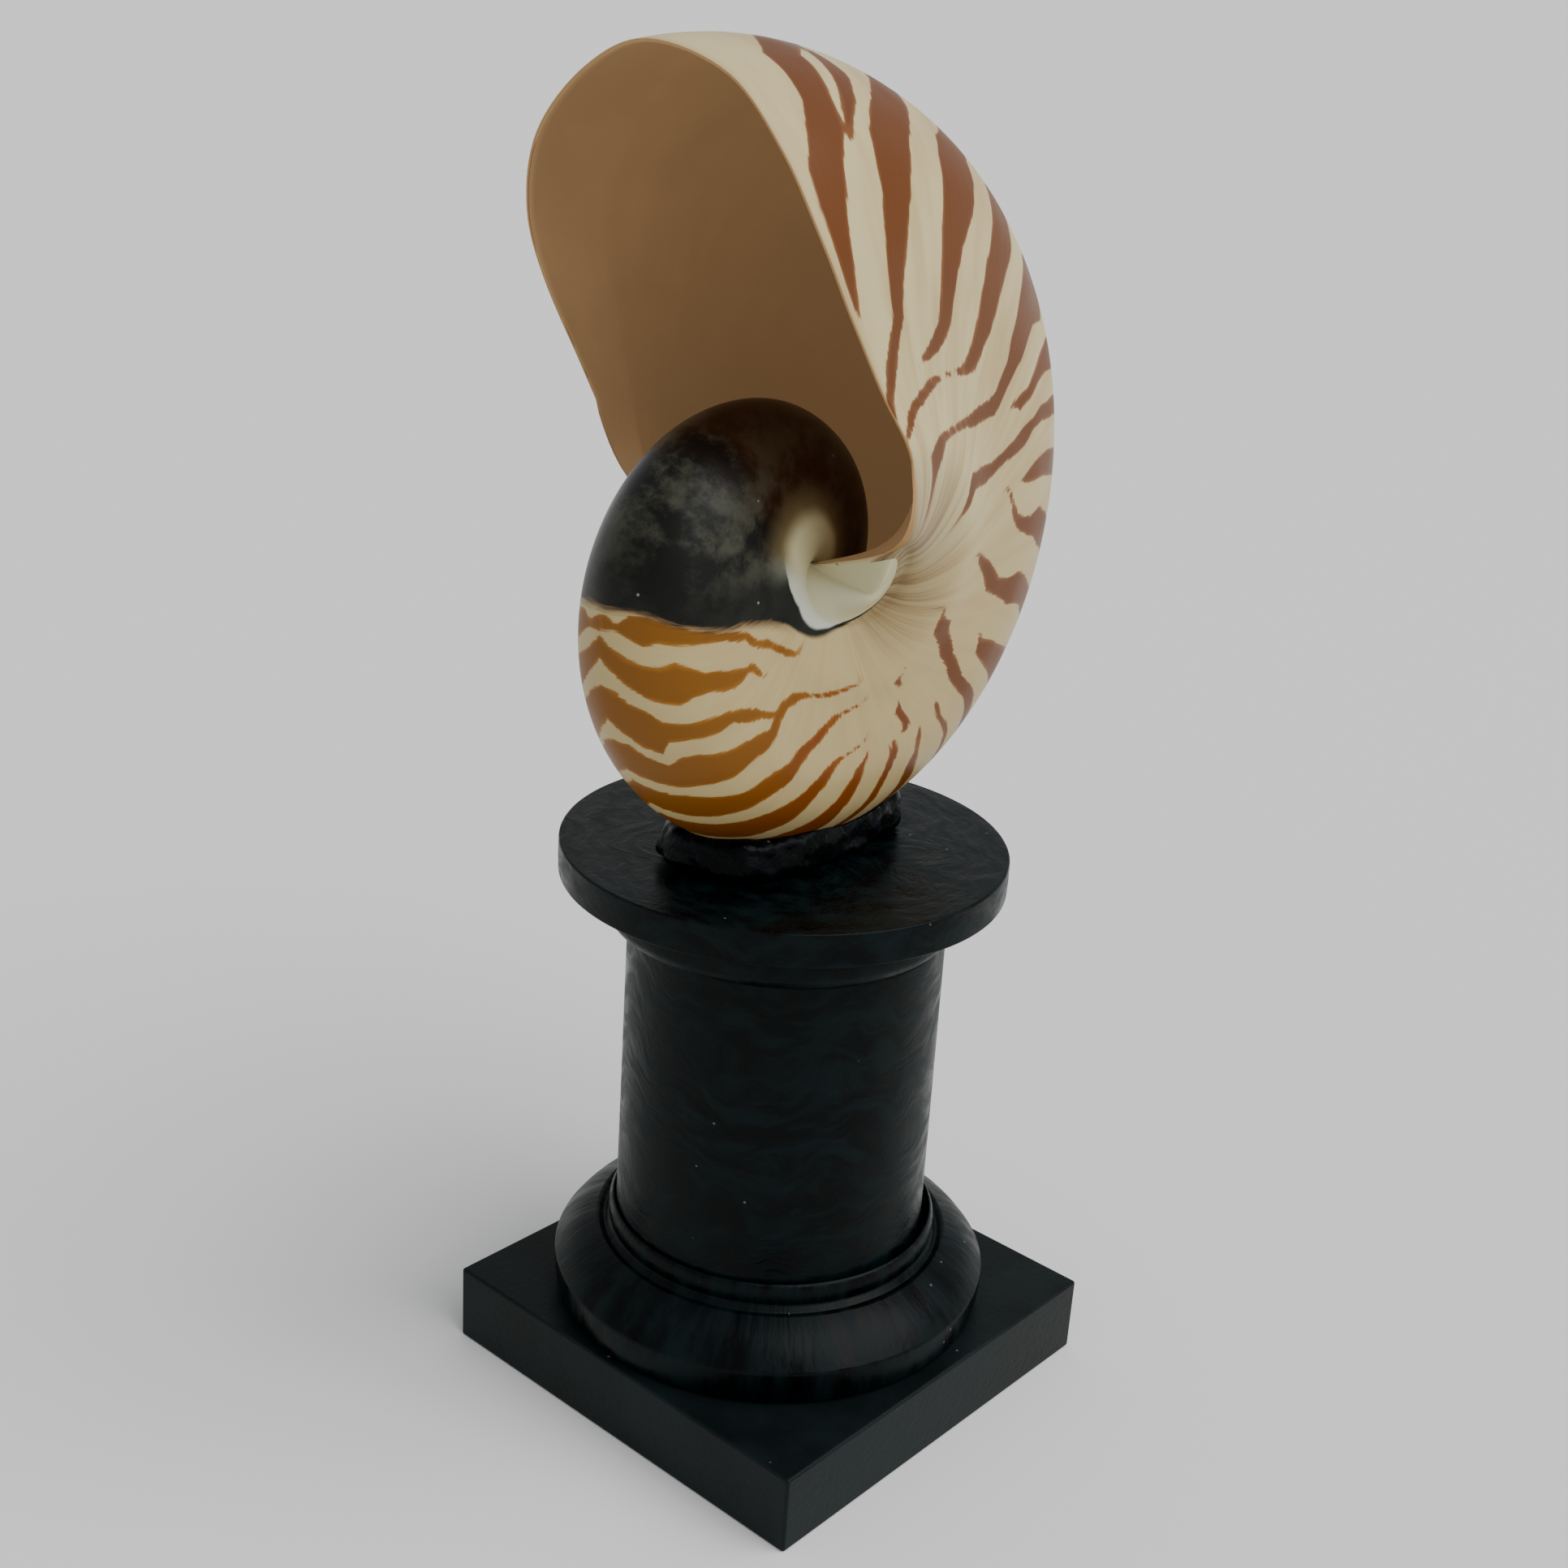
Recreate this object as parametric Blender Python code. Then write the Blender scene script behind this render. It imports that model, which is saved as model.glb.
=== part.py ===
# A chambered nautilus shell set in black putty on a small turned column stand.
# Metres, +Z up. The origin is the centre of the plinth's underside; the shell's mouth faces -Y.

import math

import bmesh
import bpy
from mathutils import Matrix, Vector
from mathutils.bvhtree import BVHTree

MM = 0.001
GAP = 0.3 * MM

# Plinth, a square slab
PLINTH_SIDE = 90 * MM
PLINTH_HEIGHT = 16 * MM
PLINTH_EASED_EDGE = 0.5 * MM

# Turned pieces, each glued a little off the centre of the one below
MOULDING_AXIS = (-1.1 * MM, -0.5 * MM)
COLUMN_AXIS = (-1.3 * MM, -1.1 * MM)
CAP_AXIS = (-2.4 * MM, -2.0 * MM)
MOULDING_RADIUS = 43.7 * MM
MOULDING_TUCK = 1.3 * MM
MOULDING_ARRIS = 23.5 * MM
MOULDING_BELLY = 0.6 * MM
LIP_RADIUS = 35.2 * MM
LIP_TOP = 30.6 * MM
GROOVE_RADIUS = 33.8 * MM
GROOVE_FLOOR = 29.8 * MM
BEAD_WIDTH = 1.0 * MM
BEAD_MIDDLE = 33.0 * MM
BEAD_TOP = 35.4 * MM
SOCKET_FLOOR = 28.6 * MM
COLUMN_FOOT_RADIUS = 31.0 * MM
COLUMN_TOP_RADIUS = 30.7 * MM
COLUMN_TOP = 97.3 * MM
CAP_RADIUS = 42.8 * MM
CAP_TOP = 113.4 * MM
CAP_RIM_FOOT = 106.8 * MM
CAP_EASED_EDGE = 0.5 * MM
# The neck under the cap, from its foot to the underside of the rim, as radius and height
CAP_NECK = (
    (31.2 * MM, 97.6 * MM),
    (33.2 * MM, 98.5 * MM),
    (34.1 * MM, 101.2 * MM),
    (34.0 * MM, 104.6 * MM),
)
# The column's and the moulding's axes are 0.6 mm apart, so the socket is that much wider
AXIS_ROOM = 1.0 * MM
LATHE_STEPS = 56

# Shell: a flat log spiral. Lengths across it grow by WHORL_GROWTH in each full turn.
SHELL_REACH = 93.5 * MM
WHORL_GROWTH = 2.91
COIL_CENTRE = Vector((-3.0 * MM, -11.3 * MM, 167.4 * MM))
COIL_LEAN = math.radians(-1.8)
MOUTH_ANGLE = math.radians(70.7)
WALL = 1.8 * MM
LIP_EDGE = 0.6 * MM
LIP_TAPER = math.radians(14)
ROWS_PER_TURN = 40
CHAMBER_ROWS = 14
CHAMBER_DEPTH = 2 * math.pi * CHAMBER_ROWS / ROWS_PER_TURN
SEPTUM_ROWS = 4
SEPTUM_SAG = math.radians(16)
SEPTUM_FULL_SAG_HEIGHT = 0.3

# Half of the whorl's section, from the keel line to the umbilicus, as parts of the reach:
# how far out, how far aside, and by how many degrees the lip runs ahead of a flat mouth.
HALF_SECTION = (
    (1.000, 0.000, 0.0),
    (0.949, 0.169, -0.1),
    (0.836, 0.291, 2.5),
    (0.693, 0.353, 4.2),
    (0.556, 0.374, 3.8),
    (0.418, 0.386, 0.9),
    (0.291, 0.403, -5.0),
    (0.145, 0.378, -11.4),
    (0.090, 0.312, -8.0),
)
POINTS_PER_SPAN = 2
# Where the chamber's wall leaves the umbilical shoulder and turns in to the whorl within it
SHOULDER_REACH = 0.29
CORNER_REACH = 0.095
CORNER_HIGH_SIDE = 0.36
CORNER_LOW_SIDE = 0.29
# The plug of callus that fills the umbilicus
CALLUS_SIDE = 0.20
CALLUS_RINGS = 3

# Putty, an uneven oval collar pressed up round the foot of the shell
PUTTY_CENTRE = Vector((-2.0 * MM, -3.0 * MM, 0))
PUTTY_HALF_WIDTH = 13.0 * MM
PUTTY_HALF_LENGTH = 25.4 * MM
PUTTY_PLAN_POWER = 0.75
PUTTY_HEIGHT = 8.4 * MM
PUTTY_FLARE = 1.8 * MM
PUTTY_WAIST = 0.45
PUTTY_WAIST_FLARE = 0.8 * PUTTY_FLARE
# Each band of lumps as its depth, and where round the putty it starts
PUTTY_SIDE_LUMP = (0.05, 1.3)
PUTTY_WAIST_LUMP = (0.12, 4.0)
PUTTY_CREST_LUMP = (0.14, 2.2)
PUTTY_CLEARANCE = 0.5 * MM
PUTTY_STEPS = 44
PUTTY_RINGS = 7

BLACK_PAINT = (0.012, 0.016, 0.018, 1)
CHARCOAL_PAINT = (0.022, 0.026, 0.027, 1)
PUTTY_BLACK = (0.008, 0.010, 0.013, 1)
SHELL_CREAM = (0.62, 0.50, 0.34, 1)


def clear_scene():
    for old in list(bpy.data.objects):
        bpy.data.objects.remove(old, do_unlink=True)


def material(name, colour, roughness):
    made = bpy.data.materials.new(name)
    made.use_nodes = True
    shader = made.node_tree.nodes["Principled BSDF"]
    shader.inputs["Base Color"].default_value = colour
    shader.inputs["Roughness"].default_value = roughness
    shader.inputs["Metallic"].default_value = 0
    return made


def add_object(name, shape, finish, smooth=True):
    mesh = bpy.data.meshes.new(name)
    shape.to_mesh(mesh)
    shape.free()
    mesh.materials.append(finish)
    if smooth:
        mesh.shade_smooth()
        mesh.set_sharp_from_angle(angle=math.radians(35))
    made = bpy.data.objects.new(name, mesh)
    bpy.context.scene.collection.objects.link(made)
    return made


def make_plinth(finish):
    shape = bmesh.new()
    bmesh.ops.create_cube(shape, size=1)
    bmesh.ops.scale(shape, vec=(PLINTH_SIDE, PLINTH_SIDE, PLINTH_HEIGHT), verts=shape.verts)
    bmesh.ops.translate(shape, vec=(0, 0, PLINTH_HEIGHT / 2), verts=shape.verts)
    bmesh.ops.bevel(
        shape, geom=shape.edges[:], offset=PLINTH_EASED_EDGE, offset_type="OFFSET",
        segments=2, profile=0.5, affect="EDGES", material=-1,
    )
    return add_object("plinth", shape, finish, smooth=False)


def arc(centre, radii, start, end, steps):
    """Points of an elliptical arc in the (radius, height) plane; angles in degrees."""
    found = []
    for i in range(steps + 1):
        angle = math.radians(start + (end - start) * i / steps)
        found.append((centre[0] + radii[0] * math.cos(angle), centre[1] + radii[1] * math.sin(angle)))
    return found


def turn_on_lathe(name, profile, axis, finish):
    """Spins a profile that runs from the axis at the bottom, outside, to the axis at the top."""
    shape = bmesh.new()
    points = [shape.verts.new((radius, 0, height)) for radius, height in profile]
    edges = [shape.edges.new(pair) for pair in zip(points, points[1:])]
    bmesh.ops.spin(
        shape, geom=points + edges, cent=(0, 0, 0), axis=(0, 0, 1), angle=2 * math.pi,
        steps=LATHE_STEPS, use_merge=True,
    )
    bmesh.ops.remove_doubles(shape, verts=shape.verts, dist=0.01 * MM)
    bmesh.ops.recalc_face_normals(shape, faces=shape.faces)
    bmesh.ops.translate(shape, vec=(axis[0], axis[1], 0), verts=shape.verts)
    return add_object(name, shape, finish)


def sloping_swell(start, end, belly, steps):
    """Points of a slope that swells out a little on its way."""
    found = []
    for i in range(steps + 1):
        part = i / steps
        out = belly * math.sin(math.pi * part)
        found.append((start[0] + (end[0] - start[0]) * part + out,
                      start[1] + (end[1] - start[1]) * part + out))
    return found


def make_base_moulding(finish):
    """A round foot: a low band, a slope up to a lip, a groove, and a bead round the column."""
    foot = PLINTH_HEIGHT + GAP
    inner_radius = COLUMN_FOOT_RADIUS + AXIS_ROOM
    band_centre = (MOULDING_RADIUS - MOULDING_TUCK, MOULDING_ARRIS)
    band = arc(band_centre, (MOULDING_TUCK, MOULDING_ARRIS - foot), -90, 0, 4)
    slope = sloping_swell(band[-1], (LIP_RADIUS, LIP_TOP), MOULDING_BELLY, 6)[1:]
    groove = [(GROOVE_RADIUS, GROOVE_FLOOR)]
    bead_radii = (BEAD_WIDTH, BEAD_TOP - BEAD_MIDDLE)
    bead = arc((inner_radius, BEAD_MIDDLE), bead_radii, -50, 90, 6)
    socket = [(inner_radius, SOCKET_FLOOR), (0, SOCKET_FLOOR)]
    profile = [(0, foot)] + band + slope + groove + bead + socket
    return turn_on_lathe("base_moulding", profile, MOULDING_AXIS, finish)


def make_column_shaft(finish):
    foot = SOCKET_FLOOR + GAP
    profile = [(0, foot), (COLUMN_FOOT_RADIUS, foot), (COLUMN_TOP_RADIUS, COLUMN_TOP), (0, COLUMN_TOP)]
    return turn_on_lathe("column_shaft", profile, COLUMN_AXIS, finish)


def make_cap_disc(finish):
    """A round slab on a short neck."""
    neck = [tuple(point) for point in through_points(CAP_NECK, 3)]
    rim = [
        (CAP_RADIUS - CAP_EASED_EDGE, CAP_RIM_FOOT),
        (CAP_RADIUS, CAP_RIM_FOOT + CAP_EASED_EDGE),
        (CAP_RADIUS, CAP_TOP - CAP_EASED_EDGE),
        (CAP_RADIUS - CAP_EASED_EDGE, CAP_TOP),
        (0, CAP_TOP),
    ]
    profile = [(0, COLUMN_TOP + GAP)] + neck + rim
    return turn_on_lathe("cap_disc", profile, CAP_AXIS, finish)


def through_points(points, per_span, before=None):
    """A smooth path through key points (a Catmull-Rom spline), as if it came from `before`."""
    before = before or [2 * a - b for a, b in zip(points[0], points[1])]
    after = [2 * a - b for a, b in zip(points[-1], points[-2])]
    keys = [Vector(p) for p in (before, *points, after)]
    path = []
    for p0, p1, p2, p3 in zip(keys, keys[1:], keys[2:], keys[3:]):
        for i in range(per_span):
            t = i / per_span
            path.append(
                0.5 * (2 * p1 + (p2 - p0) * t + (2 * p0 - 5 * p1 + 4 * p2 - p3) * t * t
                       + (3 * p1 - p0 - 3 * p2 + p3) * t * t * t)
            )
    path.append(keys[-2])
    return path


def whole_section():
    """The section from the right umbilicus over the keel line to the left one."""
    reach, side, lead = HALF_SECTION[1]
    right = through_points(HALF_SECTION, POINTS_PER_SPAN, before=(reach, -side, lead))
    left = [Vector((p.x, -p.y, p.z)) for p in right[1:]]
    return list(reversed(right)) + left


def scale_at(angle):
    return SHELL_REACH * WHORL_GROWTH ** (angle / (2 * math.pi))


def place(angle, reach, side):
    """A point of the coil: reach is measured from the coil's axis and side along it, in metres."""
    heading = MOUTH_ANGLE - angle
    spot = Vector((side, -reach * math.cos(heading), reach * math.sin(heading)))
    return Matrix.Rotation(COIL_LEAN, 3, "Y") @ spot + COIL_CENTRE


def sheet_row(turned, section):
    """The whorl's outer surface along one growth line, which lies the angle `turned` behind the lip."""
    row = []
    for reach, side, lead in section:
        angle = math.radians(lead) - turned
        size = scale_at(angle)
        row.append(place(angle, reach * size, side * size))
    return row


def inset(section, index, wall):
    """A section point moved in by the wall's thickness, square to the outline."""
    before, here, after = section[index - 1], section[index], section[index + 1]
    along = Vector((after.x - before.x, after.y - before.y)).normalized()
    return Vector((here.x - wall * abs(along.y), here.y - wall * math.copysign(abs(along.x), here.y)))


def corner_curve(start, junction, part):
    """The chamber's wall from the umbilical shoulder round its corner to the whorl within it."""
    high = Vector((CORNER_REACH, math.copysign(CORNER_HIGH_SIDE, start.y)))
    low = Vector((CORNER_REACH, math.copysign(CORNER_LOW_SIDE, start.y)))
    rest = 1 - part
    near = rest**3 * start + 3 * rest**2 * part * high
    far = 3 * rest * part**2 * low + part**3 * junction
    return near + far


def chamber_section(section, wall):
    """The living chamber's outline as (point, lead), which meets the whorl within it at both ends."""
    shoulders = [i for i, key in enumerate(section) if key.x >= SHOULDER_REACH]
    spots = []
    for i, key in enumerate(section):
        if shoulders[0] <= i <= shoulders[-1]:
            spots.append((inset(section, i, wall), key.z))
            continue
        near, end = (shoulders[0], 0) if i < shoulders[0] else (shoulders[-1], len(section) - 1)
        part = (i - near) / (end - near)
        junction = section[end].to_2d() / WHORL_GROWTH
        lead = section[near].z + (section[end].z - section[near].z) * part
        spots.append((corner_curve(inset(section, near, wall), junction, part), lead))
    return spots


def chamber_row(turned, section):
    """The inner face of the living chamber's wall, which thins towards the lip."""
    wall = LIP_EDGE + (WALL - LIP_EDGE) * min(1, turned / LIP_TAPER)
    row = []
    for spot, lead in chamber_section(section, wall / scale_at(-turned)):
        angle = math.radians(lead) - turned
        size = scale_at(angle)
        row.append(place(angle, spot.x * size, spot.y * size))
    return row


def septum_row(section, part):
    """A row of the chamber's back wall, from the whorl within (0) to the outer wall (1)."""
    walls = chamber_section(section, WALL / scale_at(-CHAMBER_DEPTH))
    row = []
    for (wall, lead), key in zip(walls, section):
        floor = key.to_2d() / WHORL_GROWTH
        spot = floor.lerp(wall, part)
        open_height = min(1, (wall - floor).length / SEPTUM_FULL_SAG_HEIGHT)
        sag = SEPTUM_SAG * open_height * 4 * part * (1 - part)
        angle = math.radians(lead) - CHAMBER_DEPTH
        size = scale_at(angle)
        row.append(place(angle - sag, spot.x * size, spot.y * size))
    return row


def fill_umbilicus(shape, rim, side):
    """Closes one umbilicus with a plug of callus, in rings from its spiral rim to the coil's axis."""
    middle = place(0, 0, side * CALLUS_SIDE * SHELL_REACH)
    outer = rim
    for ring in range(1, CALLUS_RINGS):
        part = 1 - ring / CALLUS_RINGS
        inner = [shape.verts.new(middle.lerp(vert.co, part)) for vert in rim]
        for i in range(len(rim)):
            j = (i + 1) % len(rim)
            shape.faces.new((outer[i], outer[j], inner[j], inner[i]))
        outer = inner
    tip = shape.verts.new(middle)
    for i in range(len(rim)):
        shape.faces.new((outer[i], outer[(i + 1) % len(rim)], tip))


def make_shell(finish):
    """One closed sheet: outside, over the whorl within, up the back wall and out along the chamber."""
    section = whole_section()
    step = 2 * math.pi / ROWS_PER_TURN
    rows = [sheet_row(i * step, section) for i in range(ROWS_PER_TURN + CHAMBER_ROWS + 1)]
    rows += [septum_row(section, (i + 1) / (SEPTUM_ROWS + 1)) for i in range(SEPTUM_ROWS)]
    rows += [chamber_row(i * step, section) for i in range(CHAMBER_ROWS, -1, -1)]
    shape = bmesh.new()
    grid = [[shape.verts.new(point) for point in row] for row in rows]
    for row, following in zip(grid, grid[1:] + grid[:1]):
        for a, b, c, d in zip(row, row[1:], following[1:], following):
            shape.faces.new((a, d, c, b))
    for column, side in ((0, 1), (-1, -1)):
        fill_umbilicus(shape, [row[column] for row in grid[: ROWS_PER_TURN + 1]], side)
    bmesh.ops.remove_doubles(shape, verts=shape.verts, dist=0.001 * MM)
    bmesh.ops.recalc_face_normals(shape, faces=shape.faces)
    return add_object("shell", shape, finish)


def lump(angle, band):
    """The uneven height of one band of lumps, where fingers pinched the putty."""
    depth, start = band
    broad = 0.5 * math.sin(3 * angle + start)
    fine = 0.3 * math.sin(7 * angle + 2 * start) + 0.2 * math.sin(13 * angle)
    return depth * (broad + fine)


def squared(share):
    """A sine or cosine drawn towards 1, which turns an oval into a rounded oblong."""
    return math.copysign(abs(share) ** PUTTY_PLAN_POWER, share)


def putty_spot(angle, spread, grow, height):
    """A point of the putty: `spread` of the way out from its middle to its lumpy edge."""
    rough = spread * (1 + lump(angle, PUTTY_SIDE_LUMP))
    across = (PUTTY_HALF_WIDTH + grow) * rough * squared(math.cos(angle))
    along = (PUTTY_HALF_LENGTH + grow) * rough * squared(math.sin(angle))
    return PUTTY_CENTRE + Vector((across, along, height))


def lowered_to_shell(tree, spot):
    """The point itself or, where the shell comes lower, the point just under the shell."""
    hit = tree.ray_cast(Vector((spot.x, spot.y, CAP_TOP)), Vector((0, 0, 1)))[0]
    height = min(spot.z, hit.z - PUTTY_CLEARANCE) if hit else spot.z
    return Vector((spot.x, spot.y, height))


def putty_rings(tree):
    """The putty's rows of points: its foot, its bulging side, then its top, ring by ring."""
    foot = CAP_TOP + GAP
    angles = [2 * math.pi * i / PUTTY_STEPS for i in range(PUTTY_STEPS)]
    rings = [[putty_spot(a, 1, PUTTY_FLARE, foot) for a in angles]]
    waist = [foot + PUTTY_HEIGHT * (PUTTY_WAIST + lump(a, PUTTY_WAIST_LUMP)) for a in angles]
    rings.append([putty_spot(a, 1, PUTTY_WAIST_FLARE, z) for a, z in zip(angles, waist)])
    crest = [foot + PUTTY_HEIGHT * (1 + lump(a, PUTTY_CREST_LUMP)) for a in angles]
    for ring in range(PUTTY_RINGS):
        row = [putty_spot(a, 1 - ring / PUTTY_RINGS, 0, z) for a, z in zip(angles, crest)]
        rings.append([lowered_to_shell(tree, spot) for spot in row])
    return rings


def make_putty(shell, finish):
    tree = shell_tree(shell)
    shape = bmesh.new()
    rings = [[shape.verts.new(spot) for spot in row] for row in putty_rings(tree)]
    for outer, inner in zip(rings, rings[1:]):
        for i in range(PUTTY_STEPS):
            j = (i + 1) % PUTTY_STEPS
            shape.faces.new((outer[i], outer[j], inner[j], inner[i]))
    centre = PUTTY_CENTRE + Vector((0, 0, CAP_TOP + PUTTY_HEIGHT))
    tip = shape.verts.new(lowered_to_shell(tree, centre))
    for i in range(PUTTY_STEPS):
        shape.faces.new((rings[-1][i], rings[-1][(i + 1) % PUTTY_STEPS], tip))
    shape.faces.new(rings[0])
    bmesh.ops.recalc_face_normals(shape, faces=shape.faces)
    return add_object("putty", shape, finish)


def shell_tree(shell):
    shape = bmesh.new()
    shape.from_mesh(shell.data)
    tree = BVHTree.FromBMesh(shape)
    shape.free()
    return tree


clear_scene()
wood_black = material("black_painted_wood", BLACK_PAINT, 0.45)
make_plinth(material("charcoal_painted_wood", CHARCOAL_PAINT, 0.6))
make_base_moulding(wood_black)
make_column_shaft(wood_black)
make_cap_disc(wood_black)
nautilus = make_shell(material("nautilus_shell", SHELL_CREAM, 0.35))
make_putty(nautilus, material("black_putty", PUTTY_BLACK, 0.4))
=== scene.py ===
# %% [markdown]
# # A nautilus shell on a small turned column
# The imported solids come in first, as a fixed frame. Everything else is fitted to them.

# %% Load the frame
import math

import bmesh
import bpy
import numpy as np
from mathutils import Matrix, Vector, noise
from mathutils.bvhtree import BVHTree


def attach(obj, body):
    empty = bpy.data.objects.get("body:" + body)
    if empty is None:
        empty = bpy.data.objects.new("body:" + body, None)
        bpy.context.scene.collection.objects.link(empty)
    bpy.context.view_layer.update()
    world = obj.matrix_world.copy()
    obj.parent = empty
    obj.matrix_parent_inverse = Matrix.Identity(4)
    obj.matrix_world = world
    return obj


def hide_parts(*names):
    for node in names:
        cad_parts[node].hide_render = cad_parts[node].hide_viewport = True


MM = 0.001
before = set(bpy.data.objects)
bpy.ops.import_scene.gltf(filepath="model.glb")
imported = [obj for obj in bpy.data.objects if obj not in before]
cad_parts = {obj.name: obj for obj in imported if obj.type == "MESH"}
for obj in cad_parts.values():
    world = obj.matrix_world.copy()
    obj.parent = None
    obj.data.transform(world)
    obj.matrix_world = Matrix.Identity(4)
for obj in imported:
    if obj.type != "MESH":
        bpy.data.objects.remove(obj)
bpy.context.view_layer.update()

# %% [markdown]
# ## Camera
# The picture was taken from a little above, with the shell's mouth turned to the left.
# A camera is placed by its three axes: right, up and backwards are the columns of its matrix.

# %% Place the camera
CAMERA_SPOT = Vector((0.234718, -0.278067, 0.263589))
CAMERA_RIGHT = Vector((0.740266, 0.669748, 0.058690))
CAMERA_UP = Vector((-0.280694, 0.228561, 0.932186))
LENS_MM = 47.575
SENSOR_MM = 36
LENS_SHIFT = 0.0013


def place_camera():
    data = bpy.data.cameras.new("camera")
    data.lens = LENS_MM
    data.sensor_width = SENSOR_MM
    data.shift_x = LENS_SHIFT
    made = bpy.data.objects.new("camera", data)
    bpy.context.scene.collection.objects.link(made)
    turn = Matrix((CAMERA_RIGHT, CAMERA_UP, CAMERA_RIGHT.cross(CAMERA_UP))).transposed()
    made.matrix_world = Matrix.Translation(CAMERA_SPOT) @ turn.to_4x4()
    bpy.context.scene.camera = made
    return made


print("camera at", [round(c, 3) for c in place_camera().location])

# %% [markdown]
# ## Floor and light
# A plain pale floor runs far back under a plain pale sky of light, as in a studio.
# The floor is very large, and rises gently towards its far edge as a studio's paper sweep does,
# which keeps the horizon out of the picture. A lower view from behind still shows it.
# One broad soft light comes from the right, and the pale sky fills in all round.

# %% Make the floor and the lamps
FLOOR_SIDE = 300.0
FLOOR_SQUARES = 60
FLAT_RADIUS = 8.0
FLOOR_RISE = 24.0
FLOOR_COLOUR = (0.75, 0.76, 0.735, 1)
SKY_COLOUR = (0.95, 0.98, 1.0, 1)
SKY_STRENGTH = 0.55
KEY_STRENGTH = 3.0
KEY_SOFTNESS = math.radians(60)
KEY_FROM = Vector((0.85, 0.25, 1.1))


def make_floor():
    shape = bmesh.new()
    bmesh.ops.create_grid(
        shape, x_segments=FLOOR_SQUARES, y_segments=FLOOR_SQUARES, size=FLOOR_SIDE / 2,
    )
    for vert in shape.verts:
        away = max(0, vert.co.to_2d().length - FLAT_RADIUS) / (FLOOR_SIDE / 2)
        vert.co.z = FLOOR_RISE * away**2
    for face in shape.faces:
        face.smooth = True
    mesh = bpy.data.meshes.new("floor")
    shape.to_mesh(mesh)
    shape.free()
    finish = bpy.data.materials.new("floor")
    finish.use_nodes = True
    shader = finish.node_tree.nodes["Principled BSDF"]
    shader.inputs["Base Color"].default_value = FLOOR_COLOUR
    shader.inputs["Roughness"].default_value = 0.9
    shader.inputs["Specular IOR Level"].default_value = 0.2
    mesh.materials.append(finish)
    floor = bpy.data.objects.new("floor", mesh)
    bpy.context.scene.collection.objects.link(floor)


def add_key_light():
    """A sun with a wide disc lights the whole floor evenly and still throws a soft shadow."""
    data = bpy.data.lights.new("key", "SUN")
    data.energy = KEY_STRENGTH
    data.angle = KEY_SOFTNESS
    lamp = bpy.data.objects.new("key", data)
    bpy.context.scene.collection.objects.link(lamp)
    lamp.rotation_euler = KEY_FROM.to_track_quat("Z", "Y").to_euler()


def light_sky():
    world = bpy.data.worlds.new("studio")
    world.use_nodes = True
    back = world.node_tree.nodes["Background"]
    back.inputs["Color"].default_value = SKY_COLOUR
    back.inputs["Strength"].default_value = SKY_STRENGTH
    bpy.context.scene.world = world


make_floor()
light_sky()
add_key_light()
print("floor, sky and key light made")

# %% [markdown]
# ## Helpers for materials
# Each finish is a small network of nodes. A helper adds a node and fills its sockets:
# a socket in the list is linked, and a plain value is set on the socket itself.

# %% Write the node helpers
def linear(red, green, blue):
    """A colour as a screen shows it, 0 to 255, turned into the light values that Blender uses."""
    parts = [c / 255 for c in (red, green, blue)]
    return tuple(c / 12.92 if c <= 0.04045 else ((c + 0.055) / 1.055) ** 2.4 for c in parts) + (1,)


def add_node(tree, kind, sockets=None, **settings):
    node = tree.nodes.new(kind)
    for name, value in settings.items():
        setattr(node, name, value)
    for key, value in (sockets or {}).items():
        if isinstance(value, bpy.types.NodeSocket):
            tree.links.new(value, node.inputs[key])
        else:
            node.inputs[key].default_value = value
    return node


def calculate(tree, operation, *values):
    return add_node(tree, "ShaderNodeMath", dict(enumerate(values)), operation=operation).outputs[0]


def blend(tree, factor, first, second):
    """Mixes two colours: the factor 0 gives the first and 1 the second."""
    sockets = {0: factor, 6: first, 7: second}
    return add_node(tree, "ShaderNodeMix", sockets, data_type="RGBA").outputs[2]


def smooth_range(tree, value, low, high, to_low=0.0, to_high=1.0):
    """Eases from to_low to to_high while the value goes from low to high."""
    sockets = {0: value, 1: low, 2: high, 3: to_low, 4: to_high}
    node = add_node(tree, "ShaderNodeMapRange", sockets, interpolation_type="SMOOTHSTEP")
    return node.outputs[0]


def uneven_by(tree, value, amount):
    """Turns a noise of 0 to 1 into a push either way, half the amount at most."""
    return calculate(tree, "MULTIPLY", calculate(tree, "SUBTRACT", value, 0.5), amount)


def noise_on(tree, vector, scale, detail=2.0, roughness=0.5):
    sockets = {"Vector": vector, "Scale": scale, "Detail": detail, "Roughness": roughness}
    return add_node(tree, "ShaderNodeTexNoise", sockets).outputs[0]


def attribute(tree, name):
    return add_node(tree, "ShaderNodeAttribute", attribute_name=name).outputs["Fac"]


def new_finish(name):
    """A material with its Principled shader, ready for more nodes."""
    made = bpy.data.materials.new(name)
    made.use_nodes = True
    return made, made.node_tree, made.node_tree.nodes["Principled BSDF"]


def new_group(name, wanted, given):
    """A node group with float sockets: what it wants and what it gives."""
    group = bpy.data.node_groups.new(name, "ShaderNodeTree")
    for label in wanted:
        group.interface.new_socket(label, in_out="INPUT", socket_type="NodeSocketFloat")
    for label in given:
        group.interface.new_socket(label, in_out="OUTPUT", socket_type="NodeSocketFloat")
    return group, group.nodes.new("NodeGroupInput"), group.nodes.new("NodeGroupOutput")


def use_group(tree, group, **sockets):
    node = add_node(tree, "ShaderNodeGroup")
    node.node_tree = group
    for key, value in sockets.items():
        node.inputs[key].default_value = value
    return node.outputs


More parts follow.
